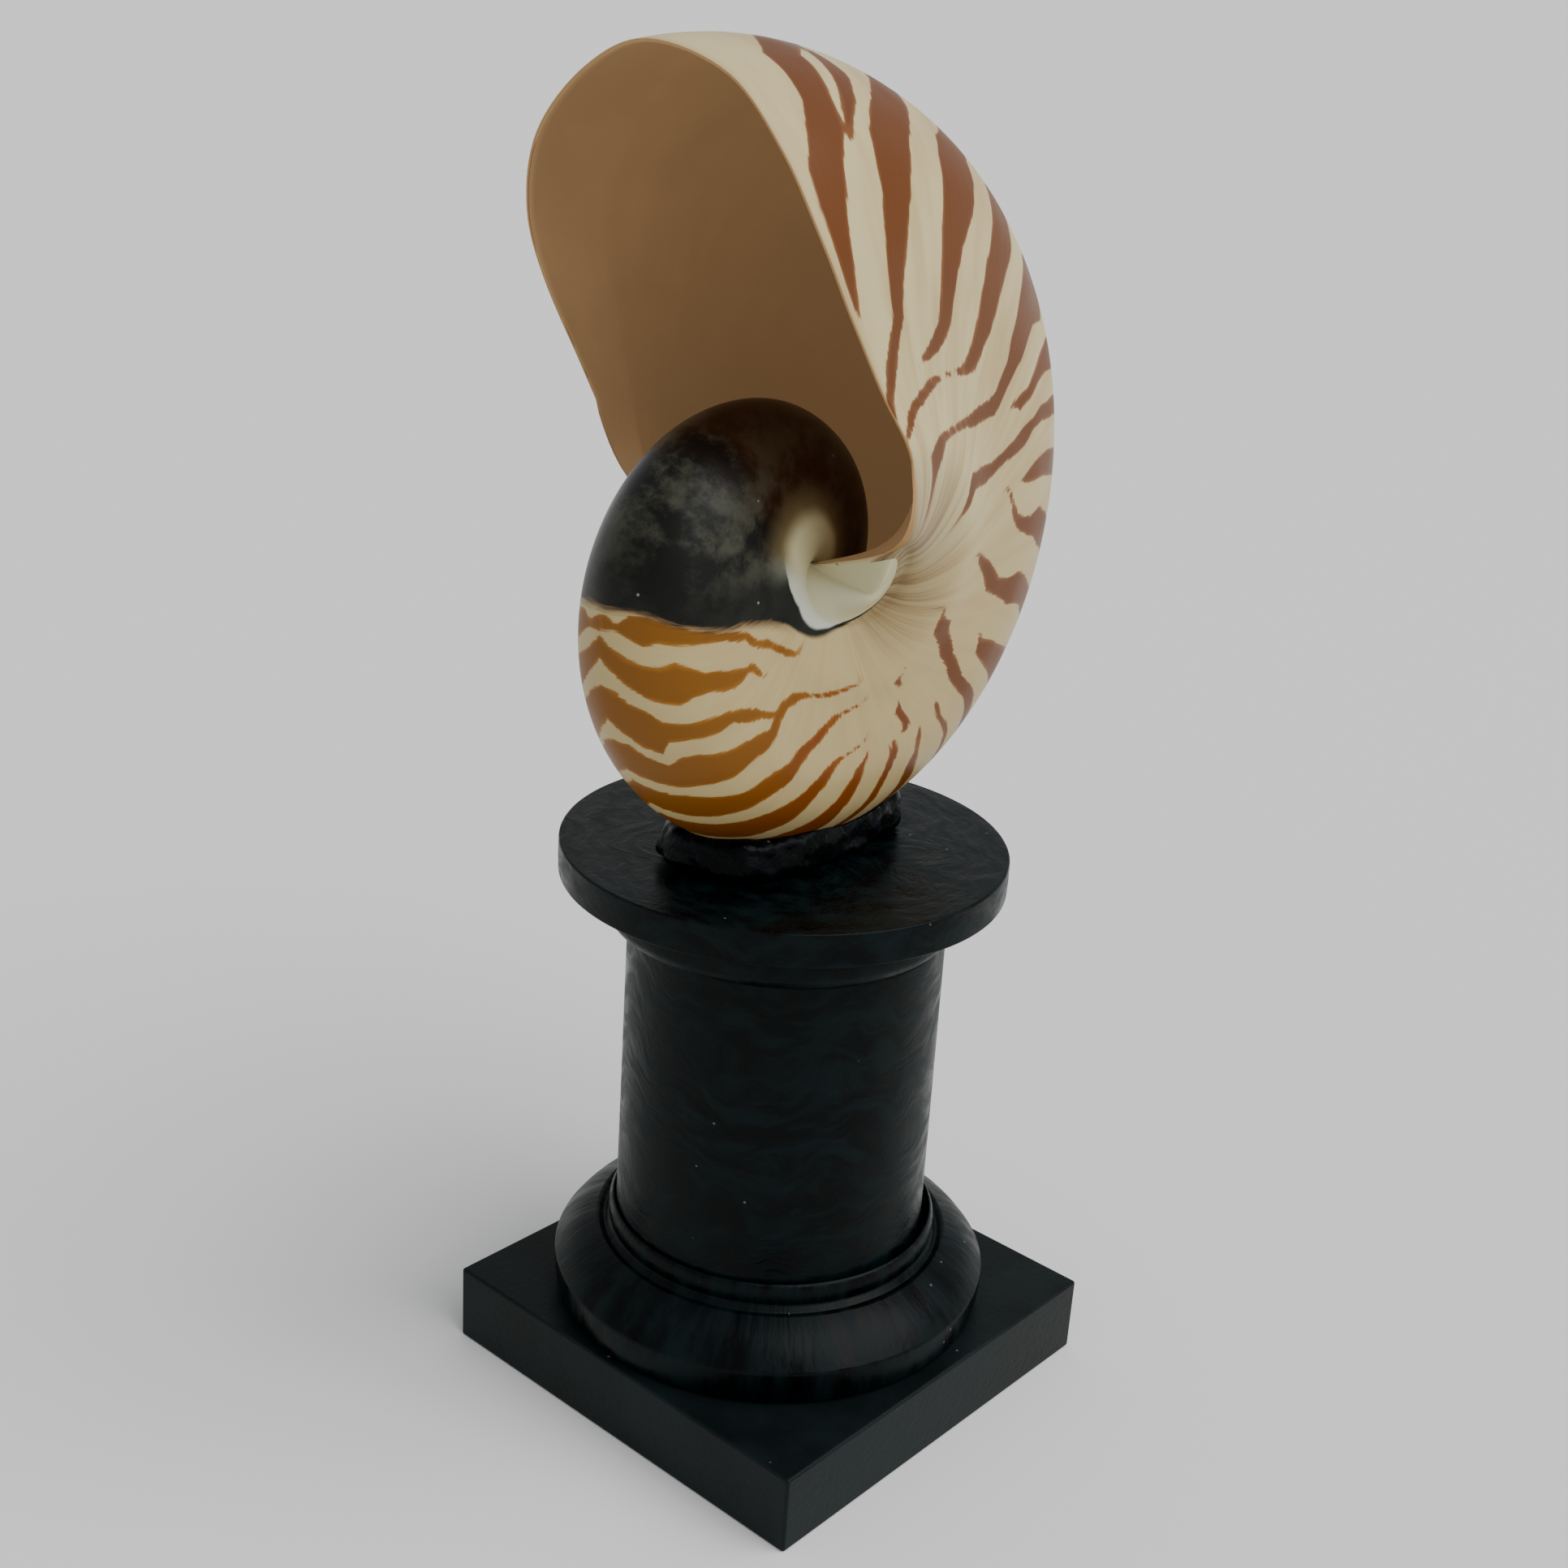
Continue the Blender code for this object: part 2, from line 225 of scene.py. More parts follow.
def add_bump(tree, shader, height, strength, distance):
    sockets = {"Height": height, "Strength": strength, "Distance": distance}
    tree.links.new(add_node(tree, "ShaderNodeBump", sockets).outputs[0], shader.inputs["Normal"])


print("node helpers ready")

# %% [markdown]
# ## Brush marks and dust
# The stand was painted by hand, so bristle lines run round it or up it and swirl a little.
# Stretched noise makes them. Its coordinates are the direction from the piece's axis, which has no
# seam, and the way along the surface. Dust is one small dot in some cells of a Voronoi pattern.
# Several finishes share both effects, so each is a group that is built once.

# %% Build the shared groups
SWIRLS = 45.0
DUST_CELLS = 330.0
DUST_SHARE = 0.93
DUST_SIZE = 0.055


def build_brush_marks():
    group, wanted, given = new_group("brush_marks", ("Around", "Along", "Swirl"), ("Marks",))
    place = add_node(group, "ShaderNodeTexCoord").outputs["Object"]
    parts = add_node(group, "ShaderNodeSeparateXYZ", {0: place}).outputs
    flat = add_node(group, "ShaderNodeCombineXYZ", {0: parts[0], 1: parts[1]}).outputs[0]
    outward = add_node(group, "ShaderNodeVectorMath", {0: flat}, operation="NORMALIZE").outputs[0]
    radius = add_node(group, "ShaderNodeVectorMath", {0: flat}, operation="LENGTH").outputs["Value"]
    turned = add_node(group, "ShaderNodeVectorMath", {0: outward, "Scale": wanted.outputs["Around"]},
                      operation="SCALE").outputs[0]
    way = calculate(group, "SUBTRACT", parts[2], radius)
    swirl = uneven_by(group, noise_on(group, place, SWIRLS), wanted.outputs["Swirl"])
    way = calculate(group, "ADD", way, swirl)
    way = calculate(group, "MULTIPLY", way, wanted.outputs["Along"])
    lift = add_node(group, "ShaderNodeCombineXYZ", {2: way}).outputs[0]
    spot = add_node(group, "ShaderNodeVectorMath", {0: turned, 1: lift}, operation="ADD").outputs[0]
    marks = noise_on(group, spot, 1.0, detail=4.0, roughness=0.6)
    group.links.new(marks, given.inputs["Marks"])
    return group


def build_dust():
    group, wanted, given = new_group("dust", (), ("Specks",))
    place = add_node(group, "ShaderNodeTexCoord").outputs["Object"]
    cells = add_node(group, "ShaderNodeTexVoronoi", {"Vector": place, "Scale": DUST_CELLS}).outputs
    lot = add_node(group, "ShaderNodeSeparateColor", {0: cells["Color"]}).outputs[0]
    chosen = calculate(group, "GREATER_THAN", lot, DUST_SHARE)
    dot = smooth_range(group, cells["Distance"], DUST_SIZE, DUST_SIZE * 2, 1.0, 0.0)
    group.links.new(calculate(group, "MULTIPLY", dot, chosen), given.inputs["Specks"])
    return group


brush_marks = build_brush_marks()
dust = build_dust()
print("groups:", [g.name for g in bpy.data.node_groups])

# %% [markdown]
# ## Finishes of the stand
# The turned pieces carry a satin black paint with a faint green-blue cast, shinier where the bristles
# pulled it thin. The plinth's paint is a duller charcoal. Black is never flat: what tells the eye that
# it is paint is how the light breaks on the marks, so they drive roughness and bump more than colour.

# %% Make the stand's finishes
PAINT_DARK = linear(0, 1, 2)
PAINT_PALE = linear(6, 19, 21)
PAINT_SHINE = 0.09
PLINTH_DARK = linear(10, 16, 16)
PLINTH_PALE = linear(18, 26, 27)
PLINTH_SHINE = 0.1
DUST_COLOUR = linear(120, 122, 118)


def black_paint(name, around, along, swirl):
    finish, tree, shader = new_finish(name)
    marks = use_group(tree, brush_marks, Around=around, Along=along, Swirl=swirl)["Marks"]
    specks = use_group(tree, dust)["Specks"]
    colour = blend(tree, smooth_range(tree, marks, 0.35, 0.75), PAINT_DARK, PAINT_PALE)
    colour = blend(tree, calculate(tree, "MULTIPLY", specks, 0.5), colour, DUST_COLOUR)
    tree.links.new(colour, shader.inputs["Base Color"])
    shader.inputs["Specular IOR Level"].default_value = PAINT_SHINE
    tree.links.new(smooth_range(tree, marks, 0.3, 0.7, 0.24, 0.46), shader.inputs["Roughness"])
    add_bump(tree, shader, marks, 0.5, 0.5 * MM)
    return finish


def charcoal_paint():
    finish, tree, shader = new_finish("plinth_charcoal")
    place = add_node(tree, "ShaderNodeTexCoord").outputs["Object"]
    cloud = noise_on(tree, place, 60.0, detail=4.0)
    grain = noise_on(tree, place, 900.0, detail=2.0)
    specks = use_group(tree, dust)["Specks"]
    colour = blend(tree, smooth_range(tree, cloud, 0.3, 0.7), PLINTH_DARK, PLINTH_PALE)
    colour = blend(tree, calculate(tree, "MULTIPLY", specks, 0.6), colour, DUST_COLOUR)
    tree.links.new(colour, shader.inputs["Base Color"])
    shader.inputs["Specular IOR Level"].default_value = PLINTH_SHINE
    tree.links.new(smooth_range(tree, cloud, 0.3, 0.7, 0.3, 0.42), shader.inputs["Roughness"])
    add_bump(tree, shader, grain, 0.25, 0.2 * MM)
    return finish


paint_round = black_paint("black_paint_round", 5.0, 260.0, 0.02)
paint_upright = black_paint("black_paint_upright", 9.0, 60.0, 0.03)
paint_swirled = black_paint("black_paint_swirled", 3.0, 260.0, 0.03)
paint_plinth = charcoal_paint()
print("stand finishes:", paint_round.name, paint_upright.name, paint_swirled.name, paint_plinth.name)

# %% [markdown]
# ## Stand
# Stands like this are turned on a lathe. Each turned piece here is one profile, drawn from the axis
# at the bottom round the outside to the axis at the top, and spun round. Thick paint rounds every
# corner a little, so the profile's corners are softened before it is spun.

# %% Draw and spin the turned pieces
BASE_AXIS = (-1.1, -0.5)
COLUMN_AXIS = (-1.3, -1.1)
CAP_AXIS = (-2.4, -2.0)
LATHE_STEPS = 180
SHARP_BEND = math.radians(15)
CORNER_RADIUS, CORNER_SUPPORT, LONGEST_SHARE = 0.45, 1.2, 0.4
CORNER_STEPS = np.linspace(0, 1, 5)
BAND_RADIUS, BAND_TUCK, BAND_FOOT, BAND_TOP = 43.7, 1.3, 16.3, 23.5
SLOPE_END, SLOPE_BELLY = (35.2, 30.6), 0.6
GROOVE = (33.8, 29.8)
BEAD_INNER, BEAD_WIDTH, BEAD_MIDDLE, BEAD_TOP = 32.0, 1.0, 33.0, 35.4
SOCKET_FLOOR = 28.6
SHAFT_PROFILE = ((0, 28.9), (31.0, 28.9), (30.85, 60), (30.7, 97.3), (0, 97.3))
CAP_PROFILE = (
    (0, 97.6), (31.2, 97.6), (32.4, 97.8), (33.2, 98.5), (33.9, 99.8), (34.1, 101.2), (34.2, 103.0),
    (34.0, 104.8), (34.4, 106.2), (35.6, 106.8), (42.7, 106.8), (42.8, 110.0), (42.75, 113.4),
    (0, 113.4),
)


def arc(centre, radii, start, end, steps):
    angles = np.radians(np.linspace(start, end, steps + 1))
    return [(centre[0] + radii[0] * math.cos(a), centre[1] + radii[1] * math.sin(a)) for a in angles]


def swelling_slope(start, end, belly, steps):
    parts = np.linspace(0, 1, steps + 1)
    out = belly * np.sin(math.pi * parts)
    return [(start[0] + (end[0] - start[0]) * p + o, start[1] + (end[1] - start[1]) * p + o)
            for p, o in zip(parts, out)]


def base_profile():
    band = arc((BAND_RADIUS - BAND_TUCK, BAND_TOP), (BAND_TUCK, BAND_TOP - BAND_FOOT), -90, 0, 8)
    slope = swelling_slope(band[-1], SLOPE_END, SLOPE_BELLY, 12)[1:]
    bead = arc((BEAD_INNER, BEAD_MIDDLE), (BEAD_WIDTH, BEAD_TOP - BEAD_MIDDLE), -50, 90, 10)
    socket = [(BEAD_INNER, SOCKET_FLOOR), (0, SOCKET_FLOOR)]
    return [(0, BAND_FOOT)] + band + slope + [GROOVE] + bead + socket


def bend_at(back, ahead):
    """How sharply a profile turns at a corner, from the ways back and ahead along it."""
    cosine = back @ ahead / np.linalg.norm(back) / np.linalg.norm(ahead)
    return abs(math.pi - math.acos(np.clip(cosine, -1, 1)))


def soften(profile):
    """Rounds each corner of a profile, and adds a point either side to keep the flats flat."""
    points = [np.array(p, float) for p in profile]
    soft = [points[0]]
    for before, here, after in zip(points, points[1:], points[2:]):
        back, ahead = before - here, after - here
        if bend_at(back, ahead) < SHARP_BEND:
            soft.append(here)
            continue
        reach_back = min(LONGEST_SHARE, CORNER_RADIUS / np.linalg.norm(back)) * back
        reach_ahead = min(LONGEST_SHARE, CORNER_RADIUS / np.linalg.norm(ahead)) * ahead
        soft.append(here + reach_back * CORNER_SUPPORT)
        soft += [here + reach_back * (1 - t) ** 2 + reach_ahead * t**2 for t in CORNER_STEPS]
        soft.append(here + reach_ahead * CORNER_SUPPORT)
    return soft + [points[-1]]


def add_piece(name, shape, node, finishes, smooth=True):
    """Links one new piece, which stands for a solid and rides where it does."""
    mesh = bpy.data.meshes.new(name)
    shape.to_mesh(mesh)
    shape.free()
    for finish in finishes:
        mesh.materials.append(finish)
    if smooth:
        mesh.shade_smooth()
    piece = bpy.data.objects.new(name, mesh)
    bpy.context.scene.collection.objects.link(piece)
    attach(piece, "root")
    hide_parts(node)
    print(name, "has", len(mesh.polygons), "faces")
    return piece


def turned_shape(profile, axis):
    shape = bmesh.new()
    points = [shape.verts.new((radius * MM, 0, height * MM)) for radius, height in soften(profile)]
    edges = [shape.edges.new(pair) for pair in zip(points, points[1:])]
    bmesh.ops.spin(
        shape, geom=points + edges, cent=(0, 0, 0), axis=(0, 0, 1), angle=2 * math.pi,
        steps=LATHE_STEPS, use_merge=True,
    )
    bmesh.ops.remove_doubles(shape, verts=shape.verts, dist=0.005 * MM)
    bmesh.ops.recalc_face_normals(shape, faces=shape.faces)
    bmesh.ops.translate(shape, vec=(axis[0] * MM, axis[1] * MM, 0), verts=shape.verts)
    return shape


add_piece("base_turned", turned_shape(base_profile(), BASE_AXIS), "base_moulding",
          [paint_upright])
add_piece("shaft_turned", turned_shape(SHAFT_PROFILE, COLUMN_AXIS), "column_shaft",
          [paint_swirled])
add_piece("cap_turned", turned_shape(CAP_PROFILE, CAP_AXIS), "cap_disc",
          [paint_round])

# %% [markdown]
# The plinth is a square slab with its edges just taken off. A cube with a small rounded bevel is
# enough: the bevel is what catches the thin line of light along each edge.

# %% Cut the plinth
PLINTH_SIDE = 90 * MM
PLINTH_HEIGHT = 16 * MM
PLINTH_EDGE = 0.6 * MM


def plinth_shape():
    shape = bmesh.new()
    bmesh.ops.create_cube(shape, size=1)
    bmesh.ops.scale(shape, vec=(PLINTH_SIDE, PLINTH_SIDE, PLINTH_HEIGHT), verts=shape.verts)
    bmesh.ops.translate(shape, vec=(0, 0, PLINTH_HEIGHT / 2), verts=shape.verts)
    bmesh.ops.bevel(
        shape, geom=shape.edges[:], offset=PLINTH_EDGE, offset_type="OFFSET",
        segments=4, profile=0.5, affect="EDGES", material=-1,
    )
    return shape


add_piece("plinth_slab", plinth_shape(), "plinth", [paint_plinth], smooth=False)

# %% [markdown]
# ## Shell shape
# A nautilus adds shell only at its lip, so every growth line is the lip's own outline made smaller.
# The outline turns round the coil's axis and shrinks evenly: a log spiral.
# One sheet makes it all: outside, on over the inner whorl, up the back wall and out along the chamber.
# Two numbers give a place on it: the turn, in degrees behind the lip, and the girth, which is 0 on
# the keel line and grows towards the right umbilicus, or falls below 0 towards the left one.

# %% Lay out the shell's section
SHELL_REACH = 93.5 * MM
WHORL_GROWTH = 2.91
COIL_CENTRE = Vector((-3.0 * MM, -11.3 * MM, 167.4 * MM))
COIL_LEAN = math.radians(-1.8)
MOUTH_ANGLE = math.radians(70.7)
WALL = 1.8 * MM
LIP_EDGE = 0.6 * MM
LIP_TAPER = math.radians(14)
# Girth, then how far out and how far aside as parts of the reach, and the lip's lead in degrees
HALF_SECTION = (
    (0.000, 1.000, 0.000, 0.0),
    (0.133, 0.949, 0.169, -0.1),
    (0.267, 0.836, 0.291, 2.5),
    (0.400, 0.693, 0.353, 4.2),
    (0.533, 0.556, 0.374, 3.8),
    (0.667, 0.418, 0.386, 0.9),
    (0.800, 0.291, 0.403, -5.0),
    (0.867, 0.145, 0.378, -11.4),
    (0.933, 0.090, 0.312, -8.0),
)
POINTS_PER_SPAN = 8
ROWS_PER_TURN = 360
CHAMBER_ROWS = 126
SEPTUM_ROWS = 14
LIP_ROWS = 4
SEPTUM_SAG = math.radians(16)
SEPTUM_FULL_SAG_HEIGHT = 0.3


def through_points(points, per_span, before):
    """A smooth path through key points (a Catmull-Rom spline), as if it came from `before`."""
    after = [2 * a - b for a, b in zip(points[-1], points[-2])]
    keys = np.array([before, *points, after], float)
    path = []
    for p0, p1, p2, p3 in zip(keys, keys[1:], keys[2:], keys[3:]):
        for t in np.arange(per_span) / per_span:
            bend = (2 * p0 - 5 * p1 + 4 * p2 - p3) * t**2 + (3 * p1 - p0 - 3 * p2 + p3) * t**3
            path.append(0.5 * (2 * p1 + (p2 - p0) * t + bend))
    path.append(keys[-2])
    return np.array(path)


def whole_section():
    """Rows of (girth, reach, side, lead) from the right umbilicus over the keel to the left."""
    girth, reach, side, lead = HALF_SECTION[1]
    right = through_points(HALF_SECTION, POINTS_PER_SPAN, (-girth, reach, -side, lead))
    left = right[1:] * np.array((-1, 1, -1, 1))
    return np.vstack((right[::-1], left))


def spots_at(turned, reach, side, lead):
    """Points of the coil, as rows of x, y, z, for the angle `turned` behind the lip."""
    angle = np.radians(lead) - turned
    size = SHELL_REACH * WHORL_GROWTH ** (angle / (2 * np.pi))
    heading = MOUTH_ANGLE - angle
    flat = np.stack((side * size, -reach * size * np.cos(heading), reach * size * np.sin(heading)), -1)
    lean = np.array(Matrix.Rotation(COIL_LEAN, 3, "Y"))
    return flat @ lean.T + np.array(COIL_CENTRE)


section = whole_section()
print("points round the section:", len(section))

# %% [markdown]
# The chamber's inner face is the same outline moved in by the wall's thickness.
# At each side it turns in, round a soft corner, and meets the whorl within.

# %% Lay out the chamber's wall
SHOULDER_REACH = 0.29
CORNER_REACH = 0.085
CORNER_HIGH_SIDE = 0.42
CORNER_LOW_SIDE = 0.305
CORNER_CLEARANCE = 3


def moved_in(wall):
    """The section moved in by the wall's thickness, square to the outline."""
    outline = section[:, 1:3]
    along = np.gradient(outline, axis=0)
    along /= np.linalg.norm(along, axis=1, keepdims=True)
    hand = np.sign(outline[:, 1])
    return outline - wall * np.stack((abs(along[:, 1]), hand * abs(along[:, 0])), -1)


def corner_curve(start, junction, part, wall):
    """The way from the umbilical shoulder round the chamber's corner to the whorl within it."""
    hand = math.copysign(1, start[1])
    reach = CORNER_REACH + wall / 2
    high = np.array((reach, hand * (CORNER_HIGH_SIDE - CORNER_CLEARANCE * wall)))
    low = np.array((reach, hand * (CORNER_LOW_SIDE - wall)))
    rest = 1 - part
    near = rest**3 * start + 3 * rest**2 * part * high
    return near + 3 * rest * part**2 * low + part**3 * junction


def chamber_section(wall):
    """The chamber's outline as rows of reach and side, and the lead of each."""
    inner = moved_in(wall)
    leads = section[:, 3].copy()
    shoulders = np.nonzero(section[:, 1] >= SHOULDER_REACH)[0]
    for near, end in ((shoulders[0], 0), (shoulders[-1], len(section) - 1)):
        start = inner[near].copy()
        junction = section[end, 1:3] / WHORL_GROWTH
        for i in range(min(near, end), max(near, end) + 1):
            part = (i - near) / (end - near)
            inner[i] = corner_curve(start, junction, part, wall)
            leads[i] = section[near, 3] + (section[end, 3] - section[near, 3]) * part
    return inner, leads


def wall_part(turned):
    """The wall's thickness as a part of the reach. It thins towards the lip."""
    wall = LIP_EDGE + (WALL - LIP_EDGE) * min(1, turned / LIP_TAPER)
    return wall / (SHELL_REACH * WHORL_GROWTH ** (-turned / (2 * math.pi)))


def sheet_row(turned):
    return spots_at(turned, section[:, 1], section[:, 2], section[:, 3])


def chamber_row(turned):
    inner, leads = chamber_section(wall_part(turned))
    return spots_at(turned, inner[:, 0], inner[:, 1], leads)


def septum_row(part):
    """A row of the chamber's back wall, from the whorl within (0) to the outer wall (1)."""
    depth = 2 * math.pi * CHAMBER_ROWS / ROWS_PER_TURN
    wall, leads = chamber_section(wall_part(depth))
    floor = section[:, 1:3] / WHORL_GROWTH
    spot = floor + (wall - floor) * part
    height = np.minimum(1, np.linalg.norm(wall - floor, axis=1) / SEPTUM_FULL_SAG_HEIGHT)
    sag = SEPTUM_SAG * height * 4 * part * (1 - part)
    return spots_at(depth + sag, spot[:, 0], spot[:, 1], leads)


print("wall at the lip:", round(wall_part(0) * SHELL_REACH / MM, 2), "mm")

# %% [markdown]
# The rows go once round the sheet. The lip is a few rows across the wall's thickness, swelled
# forwards to a soft edge. They carry a turn below 0, so that the markings know the lip's bare edge.

# %% Stack the rows
LIP_SWELL = 0.5 * MM
LIP_TURN = -2.0
LIP_FORWARDS = np.array((0, -math.sin(MOUTH_ANGLE), -math.cos(MOUTH_ANGLE)))


def lip_row(part):
    """A row across the lip, from the outside (0) to the chamber (1)."""
    outside, inside = sheet_row(0), chamber_row(0)
    thick = np.linalg.norm(inside - outside, axis=1, keepdims=True).clip(0, WALL) / WALL
    swell = LIP_SWELL * math.sin(math.pi * part) * thick
    return outside + (inside - outside) * part + swell * LIP_FORWARDS


def stack_rows():
    """All rows, the turn of each, and whether each belongs to the chamber's lining."""
    step = 2 * math.pi / ROWS_PER_TURN
    outward = range(ROWS_PER_TURN + CHAMBER_ROWS + 1)
    outer = [(sheet_row(i * step), math.degrees(i * step), 0) for i in outward]
    depth = outer[-1][1]
    back = [(septum_row((i + 1) / (SEPTUM_ROWS + 1)), depth, 1) for i in range(SEPTUM_ROWS)]
    homeward = range(CHAMBER_ROWS, -1, -1)
    inner = [(chamber_row(i * step), math.degrees(i * step), 1) for i in homeward]
    lip = [(lip_row(1 - (i + 1) / (LIP_ROWS + 1)), LIP_TURN, 0) for i in range(LIP_ROWS)]
    return [np.array(column) for column in zip(*(outer + back + inner + lip + outer[:1]))]


rows, row_turns, row_linings = stack_rows()
print("rows and columns:", rows.shape[:2])

# %% [markdown]
# The sheet starts as a flat grid, whose vertices are then moved to their places.
# Each vertex keeps its turn and its girth. The umbilici, the two holes round the ends of the
# coil's axis, are closed by extruding their rims inwards in rings. Each plug is smoothed, lifted
# to a low mound and smoothed again together with the shell round it.

# %% Bend a grid into the shell
CALLUS_SIDE = 0.23
CALLUS_RINGS = 14
CALLUS_GIRTH_STEP = 0.03
PLUG_FROM_GIRTH, PLUG_SMOOTHING = 0.935, 400
PLUG_SWELL, PLUG_SWELL_GIRTH = 5.2 * MM, 0.3
CALLUS_FROM_GIRTH, CALLUS_SMOOTHING = 0.905, 90


def sheet_shape():
    count, width = rows.shape[:2]
    shape = bmesh.new()
    bmesh.ops.create_grid(shape, x_segments=width - 1, y_segments=count - 1, size=1)
    turn = shape.verts.layers.float.new("turn")
    girth = shape.verts.layers.float.new("girth")
    lining = shape.verts.layers.float.new("lining")
    for vert in shape.verts:
        column = round((vert.co.x + 1) / 2 * (width - 1))
        row = round((vert.co.y + 1) / 2 * (count - 1))
        vert.co = rows[row, column]
        vert[turn] = row_turns[row]
        vert[girth] = section[column, 0]
        vert[lining] = row_linings[row]
    bmesh.ops.remove_doubles(shape, verts=shape.verts, dist=0.002 * MM)
    return shape


def close_umbilicus(shape, hand):
    """Fills the hole round one end of the coil's axis with a plug."""
    girth = shape.verts.layers.float["girth"]
    rim = [e for e in shape.edges if e.is_boundary and e.verts[0].co.x * hand > COIL_CENTRE.x * hand]
    middle = Vector(spots_at(0, 0, hand * CALLUS_SIDE, 0.0))
    for ring in range(CALLUS_RINGS):
        made = bmesh.ops.extrude_edge_only(shape, edges=rim)["geom"]
        rim = [e for e in made if isinstance(e, bmesh.types.BMEdge) and e.is_boundary]
        inner = {v for e in rim for v in e.verts}
        keep = (CALLUS_RINGS - ring - 1) / (CALLUS_RINGS - ring)
        for vert in inner:
            vert.co = middle.lerp(vert.co, keep)
            vert[girth] += hand * CALLUS_GIRTH_STEP
    bmesh.ops.remove_doubles(shape, verts=list(inner), dist=0.01 * MM)


def swell_plugs(shape):
    """Lifts the middle of each plug, as callus fills the hole to a low mound."""
    girth = shape.verts.layers.float["girth"]
    for vert in shape.verts:
        inside = (abs(vert[girth]) - PLUG_FROM_GIRTH) / PLUG_SWELL_GIRTH
        if inside > 0:
            rise = PLUG_SWELL * math.sin(math.pi / 2 * min(1, inside))
            vert.co.x += math.copysign(rise, vert[girth])


def smooth_callus(shape, from_girth, passes):
    """Relaxes the outside of the shell from a girth on, which is the smooth callus."""
    girth = shape.verts.layers.float["girth"]
    lining = shape.verts.layers.float["lining"]
    soft = [v for v in shape.verts if abs(v[girth]) > from_girth and v[lining] < 0.5]
    for _ in range(passes):
        bmesh.ops.smooth_vert(
            shape, verts=soft, factor=0.5, use_axis_x=True, use_axis_y=True, use_axis_z=True,
        )


def split_finishes(shape):
    """The outside takes the first material, and the chamber's lining the second."""
    lining = shape.verts.layers.float["lining"]
    for face in shape.faces:
        face.material_index = int(min(v[lining] for v in face.verts) > 0.5)


shell_shape = sheet_shape()
close_umbilicus(shell_shape, 1)
close_umbilicus(shell_shape, -1)
smooth_callus(shell_shape, PLUG_FROM_GIRTH, PLUG_SMOOTHING)
swell_plugs(shell_shape)
smooth_callus(shell_shape, CALLUS_FROM_GIRTH, CALLUS_SMOOTHING)
bmesh.ops.recalc_face_normals(shell_shape, faces=shell_shape.faces)
split_finishes(shell_shape)
print("open edges:", sum(e.is_boundary for e in shell_shape.edges), "faces:", len(shell_shape.faces))
